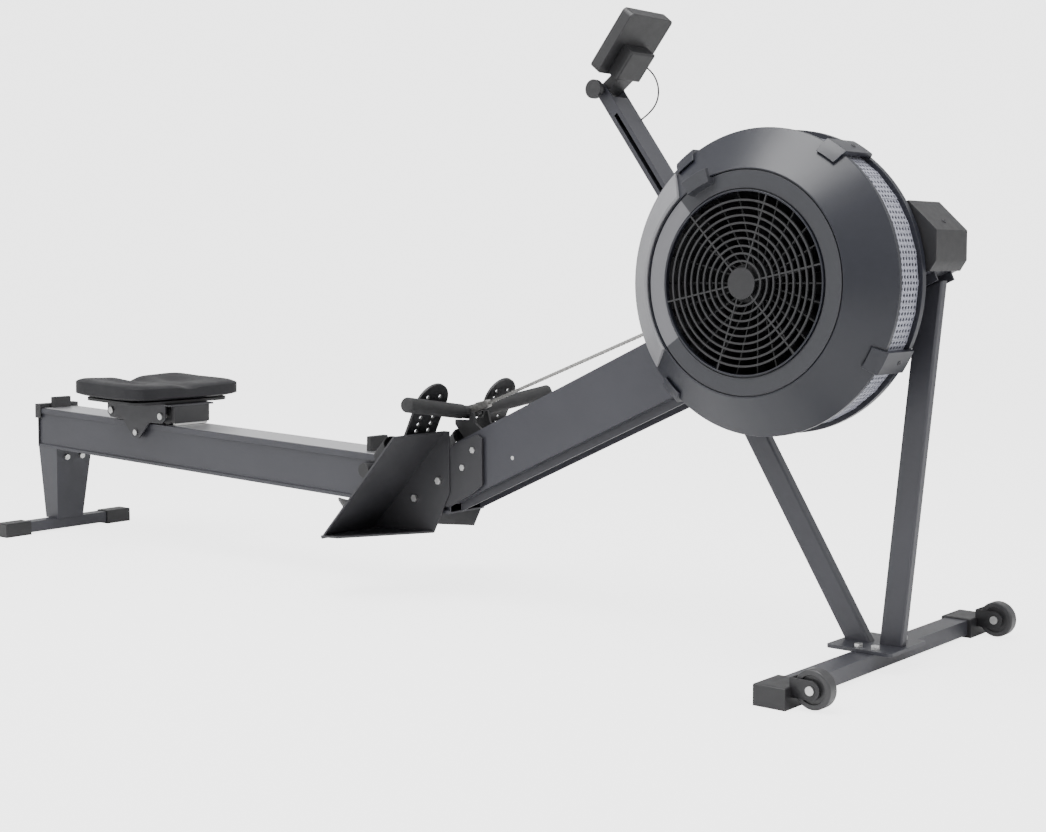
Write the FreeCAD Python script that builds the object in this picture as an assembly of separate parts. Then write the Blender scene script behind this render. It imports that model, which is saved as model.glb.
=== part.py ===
import FreeCAD, Part
import math
import os

from FreeCAD import Vector

# Air rowing machine: a sloping seat rail, an inclined front beam with the fan at its upper end,
# foot boards where the two meet, a sliding seat and a chain handle.
# Millimetres. +X runs from the rail's rear end to the fan, +Y is the rower's left, +Z is up,
# and the floor is Z = 0.

# ---------------------------------------------------------------- driving dimensions
# seat rail
RAIL_REAR_X = -1208.0
RAIL_FRONT_X = 196.0
RAIL_TOP_Z = 310.0
RAIL_TILT = 1.7
RAIL_WIDTH = 105.0
RAIL_DEPTH = 98.0
RAIL_WALL = 3.5
RAIL_FLANGE = 12.0
RAIL_RECESS = 4.0
TRACK_WIDTH = 92.0
TRACK_THICK = 1.5

# front beam
BEAM_FOOT_X = 206.0
BEAM_FOOT_Z = 310.5
BEAM_TILT = 24.3
BEAM_LENGTH = 1047.0
BEAM_WIDTH = 100.0
BEAM_DEPTH = 109.0
BEAM_WALL = 4.0
RUNNER_WIDTH = 60.0
RUNNER_DEPTH = 15.0

# feet, legs and wheels
REAR_FOOT_WIDTH = 364.0
REAR_FOOT_X = -1186.0
REAR_TUBE = 36.0
REAR_LEG_TOP = 78.0
REAR_LEG_BOTTOM = 51.0
REAR_LEG_BOTTOM_WIDTH = 74.0
FRONT_FOOT_WIDTH = 688.0
FRONT_FOOT_X = 1108.0
FRONT_TUBE = 42.0
FOOT_TUBE_HEIGHT = 26.0
FOOT_TUBE_LIFT = 5.0
CAP_LENGTH = 70.0
CAP_WALL = 3.0
LEG_WIDE = 40.0
LEG_THIN = 20.0
TUBE_WALL = 2.5
WHEEL_RADIUS = 30.5
WHEEL_WIDTH = 22.0
WHEEL_INSET = 32.0
WHEEL_LIFT = 2.5
WHEEL_AXLE_RADIUS = 5.0

# fan
AXLE_ALONG = 817.0
AXLE_DEPTH = 24.4
AXLE_RADIUS = 8.5
FAN_BACK_Y = -58.0
FAN_DEPTH = 140.0
HOUSING_RADIUS = 246.0
CONE_RADIUS = 179.0
GRILLE_RADIUS = 147.0
HOUSING_WALL = 3.0
CONE_DEPTH = 54.0
BAND_WIDTH = 66.0
FLYWHEEL_RADIUS = 222.0
SPROCKET_RADIUS = 27.5
CHAIN_HEIGHT = 7.0
CHAIN_WIDTH = 8.0
DAMPER_TRAVEL = 80.0
LEVER_ANGLE = 116.0

# handle
HANDLE_X = 199.0
HANDLE_Z = 368.0
HANDLE_WIDTH = 416.0
HANDLE_SWEEP = 34.0
HANDLE_RISE = 30.0
GRIP_RADIUS = 14.5
CORE_RADIUS = 9.0
CORE_HALF = 26.0

# seat
SEAT_X = -796.0
SEAT_WIDTH = 320.0
SEAT_LENGTH = 256.0
SEAT_THICK = 40.0
SEAT_CORNER = 48.0
SEAT_ROUND = 10.0
ROLLER_RADIUS = 20.0
ROLLER_SPREAD = 94.0
ROLLER_AXLE = 5.0
GUIDE_RADIUS = 11.0
GUIDE_AXLE = 4.0
CARRIAGE_GAP = 5.5
PLATE = 4.0

# foot boards
BOARD_HEEL_X = -17.6
BOARD_HEEL_Z = 121.5
BOARD_TILT = 46.2
BOARD_LENGTH = 295.7
BOARD_OUTER_Y = 198.0
FLEX_WIDTH = 84.0
FLEX_THICK = 5.0
FLEX_LIFT = 12.0

# monitor
ARM_ALONG = 690.7
ARM_TILT = 36.0
ARM_LENGTH = 507.0
ARM_THIN = 24.0
ARM_WIDE = 52.0
YOKE_TOP = 212.0
TUBE_START = 190.0
SCREEN_TILT = 50.7
CASE_WIDTH = 124.0
CASE_HEIGHT = 122.0
CASE_THICK = 22.0

# fits
RUN_CLEAR = 0.06
GAP = 0.3

os.makedirs("parts", exist_ok=True)


def save(name, *solids):
    shape = solids[0] if len(solids) == 1 else Part.makeCompound(list(solids))
    shape.exportStep("parts/" + name + ".step")


def box(x0, x1, y0, y1, z0, z1):
    return Part.makeBox(x1 - x0, y1 - y0, z1 - z0, Vector(x0, y0, z0))


def rod_y(x, z, y0, y1, radius):
    return Part.makeCylinder(radius, y1 - y0, Vector(x, y0, z), Vector(0, 1, 0))


def ring_y(x, z, y0, y1, outer, inner):
    return rod_y(x, z, y0, y1, outer).cut(rod_y(x, z, y0 - 1, y1 + 1, inner))


def plate_y(points, y0, y1):
    wire = Part.makePolygon([Vector(x, y0, z) for x, z in points + points[:1]])
    return Part.Face(wire).extrude(Vector(0, y1 - y0, 0))


def fuse(shapes):
    joined = shapes[0].multiFuse(shapes[1:]) if len(shapes) > 1 else shapes[0]
    return joined.removeSplitter()


def mirror_y(shape):
    return shape.mirror(Vector(0, 0, 0), Vector(0, 1, 0))


def turned(x, z, profile, start=0.0, sweep=360.0):
    """Turns a profile of (radius, y) points about the Y line through (x, z), from the angle start."""
    a = math.radians(start)
    points = [Vector(x + r * math.cos(a), y, z + r * math.sin(a)) for r, y in profile + profile[:1]]
    return Part.Face(Part.makePolygon(points)).revolve(Vector(x, 0, z), Vector(0, -1, 0), sweep)


def span(side, inner, thick):
    """The low and high Y of a plate standing inner away from the middle on one side."""
    near, far = side * inner, side * (inner + thick)
    return min(near, far), max(near, far)


def upright(solid):
    """The vertical edges of a solid still drawn level."""
    return [edge for edge in solid.Edges if abs(edge.tangentAt(0).z) > 0.9]


def lay(shape, x, z, tilt):
    """Takes a shape drawn level at the origin to (x, z), its +X end raised by tilt degrees."""
    moved = shape.copy()
    moved.rotate(Vector(0, 0, 0), Vector(0, 1, 0), -tilt)
    moved.translate(Vector(x, 0, z))
    return moved


def spot(x, z, tilt, along, up):
    """World X and Z of a point given along and above a tilted part's own line."""
    a = math.radians(tilt)
    return (x + along * math.cos(a) - up * math.sin(a), z + along * math.sin(a) + up * math.cos(a))


def lay_rail(shape):
    return lay(shape, RAIL_REAR_X, RAIL_TOP_Z, -RAIL_TILT)


def lay_beam(shape):
    return lay(shape, BEAM_FOOT_X, BEAM_FOOT_Z, BEAM_TILT)


def hex_bolt(point, direction, across, head, shank, length):
    """A bolt whose head stands on point along direction, with its shank going the other way."""
    corner = across / math.sqrt(3)
    angles = [math.radians(60 * k) for k in range(6)]
    ngon = [Vector(corner * math.cos(a), corner * math.sin(a), 0) for a in angles]
    solid = Part.Face(Part.makePolygon(ngon + ngon[:1])).extrude(Vector(0, 0, head))
    if length > 0:
        solid = solid.fuse(Part.makeCylinder(shank, length, Vector(0, 0, -length), Vector(0, 0, 1)))
    turn = FreeCAD.Rotation(Vector(0, 0, 1), direction)
    solid.Placement = FreeCAD.Placement(point, turn)
    return solid


# ---------------------------------------------------------------- seat rail
half_rail = RAIL_WIDTH / 2
web_half = half_rail - RAIL_RECESS
rail_length = (RAIL_FRONT_X - RAIL_REAR_X) / math.cos(math.radians(RAIL_TILT))
flange_top = -TRACK_THICK
flange = box(0, rail_length, -half_rail, half_rail, flange_top - RAIL_FLANGE, flange_top)
web = box(0, rail_length, -web_half, web_half, -RAIL_DEPTH, flange_top - RAIL_FLANGE)
foot_lip = box(0, rail_length, -half_rail, half_rail, -RAIL_DEPTH, -RAIL_DEPTH + RAIL_WALL * 2)
hollow = box(-1, rail_length + 1, -web_half + RAIL_WALL, web_half - RAIL_WALL,
             -RAIL_DEPTH + RAIL_WALL, flange_top - RAIL_FLANGE - RAIL_WALL)
LOCK_X = -20.0
LOCK_DROP = 32.0
LOCK_RADIUS = 5.0
lock_along = (LOCK_X - RAIL_REAR_X) / math.cos(math.radians(RAIL_TILT))
lock_bore = LOCK_RADIUS + RUN_CLEAR
lock_hole = rod_y(lock_along, -LOCK_DROP, -half_rail - 1, -web_half + RAIL_WALL + 1, lock_bore)
rail_web = fuse([web, foot_lip]).cut(hollow).cut(lock_hole)
save("rail", lay_rail(rail_web), lay_rail(flange))

STOP_REAR_X = -1196.0
STOP_FRONT_X = -64.0
STOP_THICK = 14.0
track_start = 16.0
track = box(track_start, rail_length - 2, -TRACK_WIDTH / 2, TRACK_WIDTH / 2, flange_top, 0)
save("rail_track", lay_rail(track))

END_BAR_DEPTH = 16.0
end_plate = box(-4, 0, -half_rail, half_rail, -RAIL_DEPTH, -END_BAR_DEPTH)
end_bar = box(-11.3, 12, -half_rail - 3, half_rail + 3, -END_BAR_DEPTH - 10, 9)
end_bar = end_bar.cut(box(0, 13, -half_rail, half_rail, -RAIL_DEPTH, flange_top))
save("rail_end_cap", lay_rail(fuse([end_plate, end_bar])))


def bumper(x, height):
    along = (x - RAIL_REAR_X) / math.cos(math.radians(RAIL_TILT))
    block = box(along, along + STOP_THICK, -26, 26, 0, height)
    return lay_rail(block.makeFillet(4, upright(block)))


save("seat_stops", bumper(STOP_REAR_X, 26), bumper(STOP_FRONT_X, 30))

# ---------------------------------------------------------------- rear leg and foot
REAR_FACE_X = RAIL_REAR_X - 5.0
LEG_TOP_Z = RAIL_TOP_Z - RAIL_DEPTH + 8.0
BOLT_RADIUS = 4.0
LEG_BOLT_LENGTH = 12.0
BOLT_ACROSS = 13.0
BOLT_HEAD = 6.0
foot_top = FOOT_TUBE_LIFT + FOOT_TUBE_HEIGHT


def leg_section(z, depth, width, wall):
    x0 = REAR_FACE_X + wall
    x1 = REAR_FACE_X + depth - wall
    half = width / 2 - wall
    corners = [Vector(x, y, z) for x, y in ((x0, -half), (x1, -half), (x1, half), (x0, half))]
    return Part.makePolygon(corners + corners[:1])


def leg_loft(wall):
    high = leg_section(LEG_TOP_Z, REAR_LEG_TOP, RAIL_WIDTH, wall)
    low = leg_section(foot_top, REAR_LEG_BOTTOM, REAR_LEG_BOTTOM_WIDTH, wall)
    return Part.makeLoft([low, high], True, True)


under_rail = lay_rail(box(-60, 400, -200, 200, -RAIL_DEPTH, 200))
rear_leg = leg_loft(0).cut(leg_loft(TUBE_WALL)).cut(under_rail)
LEG_BOLT_Z = RAIL_TOP_Z - RAIL_DEPTH - 24
LEG_BOLT_Y = 22.0
lean = (REAR_LEG_TOP - REAR_LEG_BOTTOM) / (LEG_TOP_Z - foot_top)
bolt_x = REAR_FACE_X + REAR_LEG_BOTTOM + lean * (LEG_BOLT_Z - foot_top)
leg_normal = Vector(1, 0, -lean).normalize()
leg_bolts = []
for y in (-LEG_BOLT_Y, LEG_BOLT_Y):
    seat = Vector(bolt_x, y, LEG_BOLT_Z)
    hole_start = seat.sub(leg_normal * LEG_BOLT_LENGTH / 2)
    rear_leg = rear_leg.cut(Part.makeCylinder(BOLT_RADIUS, LEG_BOLT_LENGTH, hole_start, leg_normal))
    leg_bolts.append(hex_bolt(seat, leg_normal, BOLT_ACROSS, BOLT_HEAD, BOLT_RADIUS, LEG_BOLT_LENGTH))


def foot_tube(centre_x, width_x, length_y):
    back = centre_x - width_x / 2
    front = centre_x + width_x / 2
    end = length_y / 2
    outer = box(back, front, -end, end, FOOT_TUBE_LIFT, foot_top)
    inner = box(back + TUBE_WALL, front - TUBE_WALL, -end - 1, end + 1,
                FOOT_TUBE_LIFT + TUBE_WALL, foot_top - TUBE_WALL)
    return outer.cut(inner)


def foot_cap(centre_x, width_x, total, side, extra):
    """A moulded end cap over a foot tube; extra is how much deeper it is than the tube."""
    back = centre_x - width_x / 2
    front = centre_x + width_x / 2
    inner = total / 2 - CAP_LENGTH
    lo, hi = span(side, inner, CAP_LENGTH)
    cap = box(back - extra, front + extra, lo, hi, 0, foot_top + CAP_WALL)
    cap = cap.makeFillet(CAP_WALL, [e for e in cap.Edges if e.BoundBox.ZMin > foot_top])
    lo, hi = span(side, inner, CAP_LENGTH - 2 * CAP_WALL)
    return cap.cut(box(back, front, lo, hi, FOOT_TUBE_LIFT, foot_top))


REAR_CAP_EXTRA = 4.0
FRONT_CAP_EXTRA = 7.0
rear_tube_length = REAR_FOOT_WIDTH - 4 * CAP_WALL
front_tube_length = FRONT_FOOT_WIDTH - 4 * CAP_WALL
save("rear_leg", rear_leg, foot_tube(REAR_FOOT_X, REAR_TUBE, rear_tube_length))
rear_caps = [foot_cap(REAR_FOOT_X, REAR_TUBE, REAR_FOOT_WIDTH, side, REAR_CAP_EXTRA) for side in (-1, 1)]
save("rear_foot_caps", *rear_caps)

# ---------------------------------------------------------------- transport wheels
WHEEL_GAP = 1.5
WHEEL_Y = FRONT_FOOT_WIDTH / 2 - WHEEL_INSET
cap_front = FRONT_FOOT_X + FRONT_TUBE / 2 + FRONT_CAP_EXTRA
wheel_x = cap_front + WHEEL_RADIUS + WHEEL_GAP
wheel_z = WHEEL_RADIUS + WHEEL_LIFT
EAR = 3.0
EAR_RADIUS = 15.0
WHEEL_ROUND = 3.0
GROOVE_OUTER = 22.0
GROOVE_INNER = 11.0
WHEEL_BOLT_HEAD = 3.0
ear_near = WHEEL_WIDTH / 2 + WHEEL_GAP
ear_far = ear_near + EAR


def wheel(side):
    y = side * WHEEL_Y
    tyre = rod_y(wheel_x, wheel_z, y - WHEEL_WIDTH / 2, y + WHEEL_WIDTH / 2, WHEEL_RADIUS)
    rims = [e for e in tyre.Edges if abs(e.Length - 2 * math.pi * WHEEL_RADIUS) < 1]
    tyre = tyre.makeFillet(WHEEL_ROUND, rims)
    for face in (y - WHEEL_WIDTH / 2, y + WHEEL_WIDTH / 2):
        tyre = tyre.cut(ring_y(wheel_x, wheel_z, face - 3, face + 3, GROOVE_OUTER, GROOVE_INNER))
    return tyre.cut(rod_y(wheel_x, wheel_z, y - WHEEL_WIDTH, y + WHEEL_WIDTH, WHEEL_AXLE_RADIUS + RUN_CLEAR))


def wheel_bracket(side):
    y = side * WHEEL_Y
    low, high = wheel_z - EAR_RADIUS, wheel_z + EAR_RADIUS
    ears = []
    for start in (y - ear_far, y + ear_near):
        ear = box(cap_front, wheel_x, start, start + EAR, low, high)
        ear = ear.fuse(rod_y(wheel_x, wheel_z, start, start + EAR, EAR_RADIUS))
        ears.append(ear.cut(rod_y(wheel_x, wheel_z, start - 1, start + EAR + 1, WHEEL_AXLE_RADIUS)))
    back = box(cap_front - EAR, cap_front, y - ear_far, y + ear_far, low, high)
    return fuse(ears + [back])


def wheel_bolt(side):
    y = side * WHEEL_Y
    pin = rod_y(wheel_x, wheel_z, y - ear_far, y + ear_far, WHEEL_AXLE_RADIUS)
    heads = [rod_y(wheel_x, wheel_z, start, start + WHEEL_BOLT_HEAD, WHEEL_AXLE_RADIUS + 2)
             for start in (y - ear_far - WHEEL_BOLT_HEAD, y + ear_far)]
    return fuse([pin] + heads)


def front_cap(side):
    """A front cap with its outer face cut back where the wheel bracket is let in."""
    y = side * WHEEL_Y
    notch = box(cap_front - EAR, cap_front + 1, y - ear_far, y + ear_far, wheel_z - EAR_RADIUS, foot_top + 10)
    return foot_cap(FRONT_FOOT_X, FRONT_TUBE, FRONT_FOOT_WIDTH, side, FRONT_CAP_EXTRA).cut(notch)


save("front_foot_caps", front_cap(-1), front_cap(1), wheel_bracket(-1), wheel_bracket(1))
wheel_bolts = [wheel_bolt(-1), wheel_bolt(1)]
save("wheel_right", wheel(-1))
save("wheel_left", wheel(1))

# ---------------------------------------------------------------- front beam
half_beam = BEAM_WIDTH / 2
LEAD = 80.0
SLOT_HALF = 32.0
SLOT_WIDTH = 24.0
BEARING_RADIUS = 17.0
inner_half = half_beam - BEAM_WALL
half_runner = RUNNER_WIDTH / 2
runner_base = BEAM_DEPTH + RUNNER_DEPTH
beam_body = box(-LEAD, BEAM_LENGTH, -half_beam, half_beam, -BEAM_DEPTH, 0)
beam_body = beam_body.cut(box(-LEAD - 1, BEAM_LENGTH + 1, -inner_half, inner_half,
                              -BEAM_DEPTH + BEAM_WALL, -BEAM_WALL))
runner = box(-LEAD, BEAM_LENGTH, -half_runner, half_runner, -runner_base, -BEAM_DEPTH)
runner = runner.cut(box(-LEAD - 1, BEAM_LENGTH + 1, -half_runner + BEAM_WALL, half_runner - BEAM_WALL,
                        -runner_base - 1, -BEAM_DEPTH))
chain_slot = box(AXLE_ALONG - SLOT_HALF, AXLE_ALONG + SLOT_HALF, -SLOT_WIDTH / 2, SLOT_WIDTH / 2,
                 -BEAM_WALL - 1, 1)
axle_hole = rod_y(AXLE_ALONG, -AXLE_DEPTH, -half_beam - 1, half_beam + 1, BEARING_RADIUS)
ARM_DEPTH = BEAM_DEPTH / 2
PIVOT_RADIUS = 8.0
arm_hole = rod_y(ARM_ALONG, -ARM_DEPTH, -half_beam - 1, half_beam + 1, PIVOT_RADIUS)
PULLEY_ALONG = 130.0
PULLEY_RADIUS = 18.0
PULLEY_PIN = 4.0
CORD_RADIUS = 4.0
chain_radius = SPROCKET_RADIUS + 0.7 + CHAIN_HEIGHT / 2
RETURN_DEPTH = AXLE_DEPTH + chain_radius
PULLEY_DEPTH = RETURN_DEPTH + PULLEY_RADIUS + CORD_RADIUS
pulley_hole = rod_y(PULLEY_ALONG, -PULLEY_DEPTH, -half_beam - 1, half_beam + 1, PULLEY_PIN)
beam = beam_body.fuse(runner).cut(chain_slot).cut(axle_hole).cut(arm_hole).cut(pulley_hole)
beam = lay_beam(beam).cut(box(BEAM_FOOT_X - 300, BEAM_FOOT_X, -200, 200, 0, 600))
save("beam", beam.removeSplitter())


def beam_spot(along, up):
    return spot(BEAM_FOOT_X, BEAM_FOOT_Z, BEAM_TILT, along, up)


def beam_top(x):
    return BEAM_FOOT_Z + (x - BEAM_FOOT_X) * math.tan(math.radians(BEAM_TILT))


# moulded cover on the beam's upper end
COVER_WALL = 3.5
COVER_REACH = 30.0
end_x, end_z = beam_spot(BEAM_LENGTH, 0)
low_x, low_z = beam_spot(BEAM_LENGTH, -BEAM_DEPTH)
cover_back_x, cover_back_z = beam_spot(BEAM_LENGTH - COVER_REACH, COVER_WALL)
cover_low_x, cover_low_z = beam_spot(BEAM_LENGTH - COVER_REACH, -BEAM_DEPTH + 20)
COVER_FRONT_X = low_x + 15
cover_outline = [(cover_back_x, cover_back_z), (end_x + 11, end_z + 11), (COVER_FRONT_X, low_z + 64),
                 (COVER_FRONT_X, low_z + 17), (low_x + 4, low_z), (cover_low_x, cover_low_z)]
cover = plate_y(cover_outline, -half_beam - COVER_WALL, half_beam + COVER_WALL)
cover = cover.cut(lay_beam(box(-1, BEAM_LENGTH, -half_beam, half_beam, -BEAM_DEPTH - 40, 0)))
save("beam_end_cover", cover)

# ---------------------------------------------------------------- front legs
BASE_THICK = 6.0
BASE_HALF_X = 59.0
BASE_HALF_Y = 62.0
BASE_SHIFT = -9.0
base_top = foot_top + BASE_THICK
base_x = FRONT_FOOT_X + BASE_SHIFT
BASE_BOLT_X = 15.0
BASE_BOLT_Y = 48.0
base = box(base_x - BASE_HALF_X, base_x + BASE_HALF_X, -BASE_HALF_Y, BASE_HALF_Y, foot_top, base_top)
base = base.makeFillet(8, upright(base))
base_bolts = []
for dx in (-BASE_BOLT_X, BASE_BOLT_X):
    for y in (-BASE_BOLT_Y, BASE_BOLT_Y):
        base = base.cut(Part.makeCylinder(BOLT_RADIUS, 20, Vector(FRONT_FOOT_X + dx, y, foot_top - 5)))
        head = Vector(FRONT_FOOT_X + dx, y, base_top)
        base_bolts.append(hex_bolt(head, Vector(0, 0, 1), BOLT_ACROSS, BOLT_HEAD, BOLT_RADIUS, BASE_THICK))
save("front_foot_tube", foot_tube(FRONT_FOOT_X, FRONT_TUBE, front_tube_length), base)


def front_leg(bottom_x, top_along, y_half):
    """A leg tube from the base plate to the runner, both ends cut to what they meet."""
    top_x, top_z = beam_spot(top_along, -runner_base)
    run = top_x - bottom_x
    rise = top_z - base_top
    length = math.hypot(run, rise)
    tilt = math.degrees(math.atan2(rise, run))
    reach = 90
    outer = box(-reach, length + reach, -y_half, y_half, -LEG_WIDE / 2, LEG_WIDE / 2)
    rounded = outer.makeFillet(4, [e for e in outer.Edges if abs(e.tangentAt(0).x) > 0.9])
    inner = box(-reach - 1, length + reach + 1, -y_half + TUBE_WALL, y_half - TUBE_WALL,
                -LEG_WIDE / 2 + TUBE_WALL, LEG_WIDE / 2 - TUBE_WALL)
    tube = lay(rounded.cut(inner), bottom_x, base_top, tilt)
    tube = tube.cut(box(-3000, 3000, -200, 200, -500, base_top))
    above = lay_beam(box(-600, 2000, -200, 200, -runner_base, 900))
    return tube.cut(above)


LEG_FORWARD_X = FRONT_FOOT_X + 21.0
LEG_FORWARD_ALONG = BEAM_LENGTH - 25.0
LEG_REARWARD_X = FRONT_FOOT_X - 39.0
LEG_REARWARD_ALONG = 615.0
save("front_leg_forward", front_leg(LEG_FORWARD_X, LEG_FORWARD_ALONG, LEG_THIN / 2))
save("front_leg_rearward", front_leg(LEG_REARWARD_X, LEG_REARWARD_ALONG, LEG_THIN / 2))

# ---------------------------------------------------------------- joint between rail and beam
JOINT_Y = half_rail
JOINT_THICK = 5.0
joint_points = [(-45, 206), (-45, 256), (80, 256), (206, 306), (272, 332), (286, 326), (286, 236),
                (268, 222), (200, 186), (20, 186), (-10, 206)]
joint_bolt_points = [(235, 266), (262, 302), (30, 232)]
JOINT_BOLT_ACROSS = 11.0
JOINT_BOLT_HEAD = 2.2
JOINT_BOLT_RADIUS = 4.0
joint_face = JOINT_Y + JOINT_THICK
hole_x, hole_z = spot(RAIL_REAR_X, RAIL_TOP_Z, -RAIL_TILT, lock_along, -LOCK_DROP)
joint_plates = []
joint_bolts = []
for side in (-1, 1):
    lo, hi = span(side, JOINT_Y, JOINT_THICK)
    joint_plate = plate_y(joint_points, lo, hi)
    for x, z in joint_bolt_points:
        joint_plate = joint_plate.cut(rod_y(x, z, lo - 1, hi + 1, JOINT_BOLT_RADIUS))
        joint_bolts.append(hex_bolt(Vector(x, side * joint_face, z), Vector(0, side, 0),
                                    JOINT_BOLT_ACROSS, JOINT_BOLT_HEAD, JOINT_BOLT_RADIUS, JOINT_THICK))
    if side < 0:
        joint_plate = joint_plate.cut(rod_y(hole_x, hole_z, lo - 1, hi + 1, lock_bore))
    joint_plates.append(joint_plate)

# spring pin that locks the rail into the front frame
KNOB_RADIUS = 15.0
KNOB_LENGTH = 18.0
knob_face = -joint_face - 2 * GAP
lock_pin = fuse([rod_y(hole_x, hole_z, knob_face, -web_half + RAIL_WALL + 8, LOCK_RADIUS),
                 rod_y(hole_x, hole_z, knob_face - KNOB_LENGTH, knob_face, KNOB_RADIUS)])
save("rail_lock_pin", lock_pin)

# spacers that pack the narrower beam out to the joint plates
spacer_points = [(210, 240), (270, 240), (270, 318), (210, 290)]
spacers = [plate_y(spacer_points, *span(side, half_beam, JOINT_Y - half_beam)) for side in (-1, 1)]
save("joint_plates", *joint_plates, *spacers)

# ---------------------------------------------------------------- fan housing
fan_x, fan_z = beam_spot(AXLE_ALONG, -AXLE_DEPTH)
fan_front = FAN_BACK_Y - FAN_DEPTH
cone_front = fan_front + 2
recess = fan_front + 6
cover_back = cone_front + CONE_DEPTH + 6
band_back = cover_back + BAND_WIDTH
lip = 10.0
wall = HOUSING_WALL
AXLE_HOLE = 14.0


def cone_y(radius):
    """Y of the cone's outside at a radius."""
    share = (radius - CONE_RADIUS - 2) / (HOUSING_RADIUS - CONE_RADIUS - 2)
    return cone_front + share * (cover_back - 8 - cone_front)


cover_profile = [(GRILLE_RADIUS - wall, fan_front), (GRILLE_RADIUS, fan_front), (GRILLE_RADIUS, recess),
                 (CONE_RADIUS, recess), (CONE_RADIUS, cone_front), (CONE_RADIUS + 2, cone_front),
                 (HOUSING_RADIUS, cover_back - 8), (HOUSING_RADIUS, cover_back),
                 (HOUSING_RADIUS - lip, cover_back), (HOUSING_RADIUS - lip, cover_back - wall),
                 (HOUSING_RADIUS - wall, cover_back - wall),
                 (HOUSING_RADIUS - wall, cover_back - 7), (CONE_RADIUS - 1, recess + wall),
                 (GRILLE_RADIUS - wall, recess + wall)]
save("housing_cover", turned(fan_x, fan_z, cover_profile))

band_outer = HOUSING_RADIUS - lip + wall
band_inner = band_outer - 2.0
band_profile = [(band_inner, cover_back), (band_outer, cover_back),
                (band_outer, band_back), (band_inner, band_back)]
save("housing_band", turned(fan_x, fan_z, band_profile))

back_profile = [(AXLE_HOLE, FAN_BACK_Y), (HOUSING_RADIUS, FAN_BACK_Y), (HOUSING_RADIUS, band_back),
                (HOUSING_RADIUS - lip, band_back), (HOUSING_RADIUS - lip, band_back + wall),
                (HOUSING_RADIUS - wall, band_back + wall), (HOUSING_RADIUS - wall, FAN_BACK_Y - wall),
                (AXLE_HOLE, FAN_BACK_Y - wall)]
back_shell = turned(fan_x, fan_z, back_profile)

CLIP_SWEEP = 9.0
CLIP_THICK = 7.0
CLIP_ANGLES = (57, -29, 125, 227)
clip_lip = HOUSING_RADIUS - 16
clip_outer = HOUSING_RADIUS + CLIP_THICK
clip_profile = [(HOUSING_RADIUS, FAN_BACK_Y - 2), (HOUSING_RADIUS, cover_back - 8),
                (clip_lip, cone_y(clip_lip)), (clip_lip + 1, cone_y(clip_lip) - 5),
                (HOUSING_RADIUS, cover_back - 16),
                (clip_outer, cover_back - 9), (clip_outer, FAN_BACK_Y - 6), (clip_outer - 3, FAN_BACK_Y - 2)]
clips = [turned(fan_x, fan_z, clip_profile, angle - CLIP_SWEEP / 2, CLIP_SWEEP) for angle in CLIP_ANGLES]

STANDOFF_SPREAD = 65.0
STANDOFF_DEPTHS = (26.0, 86.0)
STANDOFF_RADIUS = 8.0
standoffs = []
for along in (AXLE_ALONG - STANDOFF_SPREAD, AXLE_ALONG + STANDOFF_SPREAD):
    for depth in STANDOFF_DEPTHS:
        x, z = beam_spot(along, -depth)
        standoffs.append(rod_y(x, z, FAN_BACK_Y, -half_beam, STANDOFF_RADIUS))
save("housing_back", back_shell, *clips, *standoffs)

# round grille of rings on spokes
GRILLE_RINGS = 10
SPOKES = 6
HUB_RADIUS = 25.0
RING_WIDTH = 3.2
SPOKE_WIDTH = 2.6
SPOKE_START = 72.0
GRILLE_DEPTH = 4.0
grille_edge = GRILLE_RADIUS - wall
grille_back = fan_front + GRILLE_DEPTH
rings = [rod_y(fan_x, fan_z, fan_front, grille_back, HUB_RADIUS)]
ring_step = (grille_edge - HUB_RADIUS) / GRILLE_RINGS
for k in range(1, GRILLE_RINGS):
    r = HUB_RADIUS + k * ring_step
    rings.append(ring_y(fan_x, fan_z, fan_front, grille_back, r, r - RING_WIDTH))
for k in range(SPOKES):
    spoke = box(HUB_RADIUS - 2, grille_edge, fan_front + 0.5, grille_back, -SPOKE_WIDTH / 2, SPOKE_WIDTH / 2)
    spoke.rotate(Vector(0, 0, 0), Vector(0, -1, 0), SPOKE_START + k * 360 / SPOKES)
    spoke.translate(Vector(fan_x, 0, fan_z))
    rings.append(spoke)
save("grille", fuse(rings).common(rod_y(fan_x, fan_z, fan_front, grille_back, grille_edge)))

# damper ring with its lever, and the raised scale beside it
RING_PLAY = 2.0
ring_face = recess - GAP
RING_THICK = 3.0
LEVER_SWEEP = 15.0
LEVER_RISE = 9.0
SCALE_RISE = 5.0
ring_in = GRILLE_RADIUS + RING_PLAY
ring_out = CONE_RADIUS - RING_PLAY
ring_top = ring_face - RING_THICK
damper_profile = [(ring_in, ring_face), (ring_out, ring_face), (ring_out, ring_top), (ring_in, ring_top)]
damper = turned(fan_x, fan_z, damper_profile)
lever_back = cone_front - SCALE_RISE - 1.5
lever_profile = [(CONE_RADIUS - 14, ring_top), (ring_out, ring_top), (ring_out, lever_back),
                 (CONE_RADIUS + 14, lever_back), (CONE_RADIUS + 12, lever_back - LEVER_RISE),
                 (CONE_RADIUS - 10, lever_back - LEVER_RISE)]
lever = turned(fan_x, fan_z, lever_profile, LEVER_ANGLE - LEVER_SWEEP / 2, LEVER_SWEEP)
save("damper", damper.fuse(lever))
SCALE_START = 131.0
SCALE_SWEEP = DAMPER_TRAVEL + 5
scale_in = CONE_RADIUS + 2
scale_out = HOUSING_RADIUS - 8
scale_profile = [(scale_in, cone_y(scale_in)), (scale_out, cone_y(scale_out)),
                 (scale_out, cone_y(scale_out) - SCALE_RISE), (scale_in + 4, cone_front - SCALE_RISE),
                 (scale_in, cone_front - SCALE_RISE + 1)]
save("damper_scale", turned(fan_x, fan_z, scale_profile, SCALE_START, SCALE_SWEEP))

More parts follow.
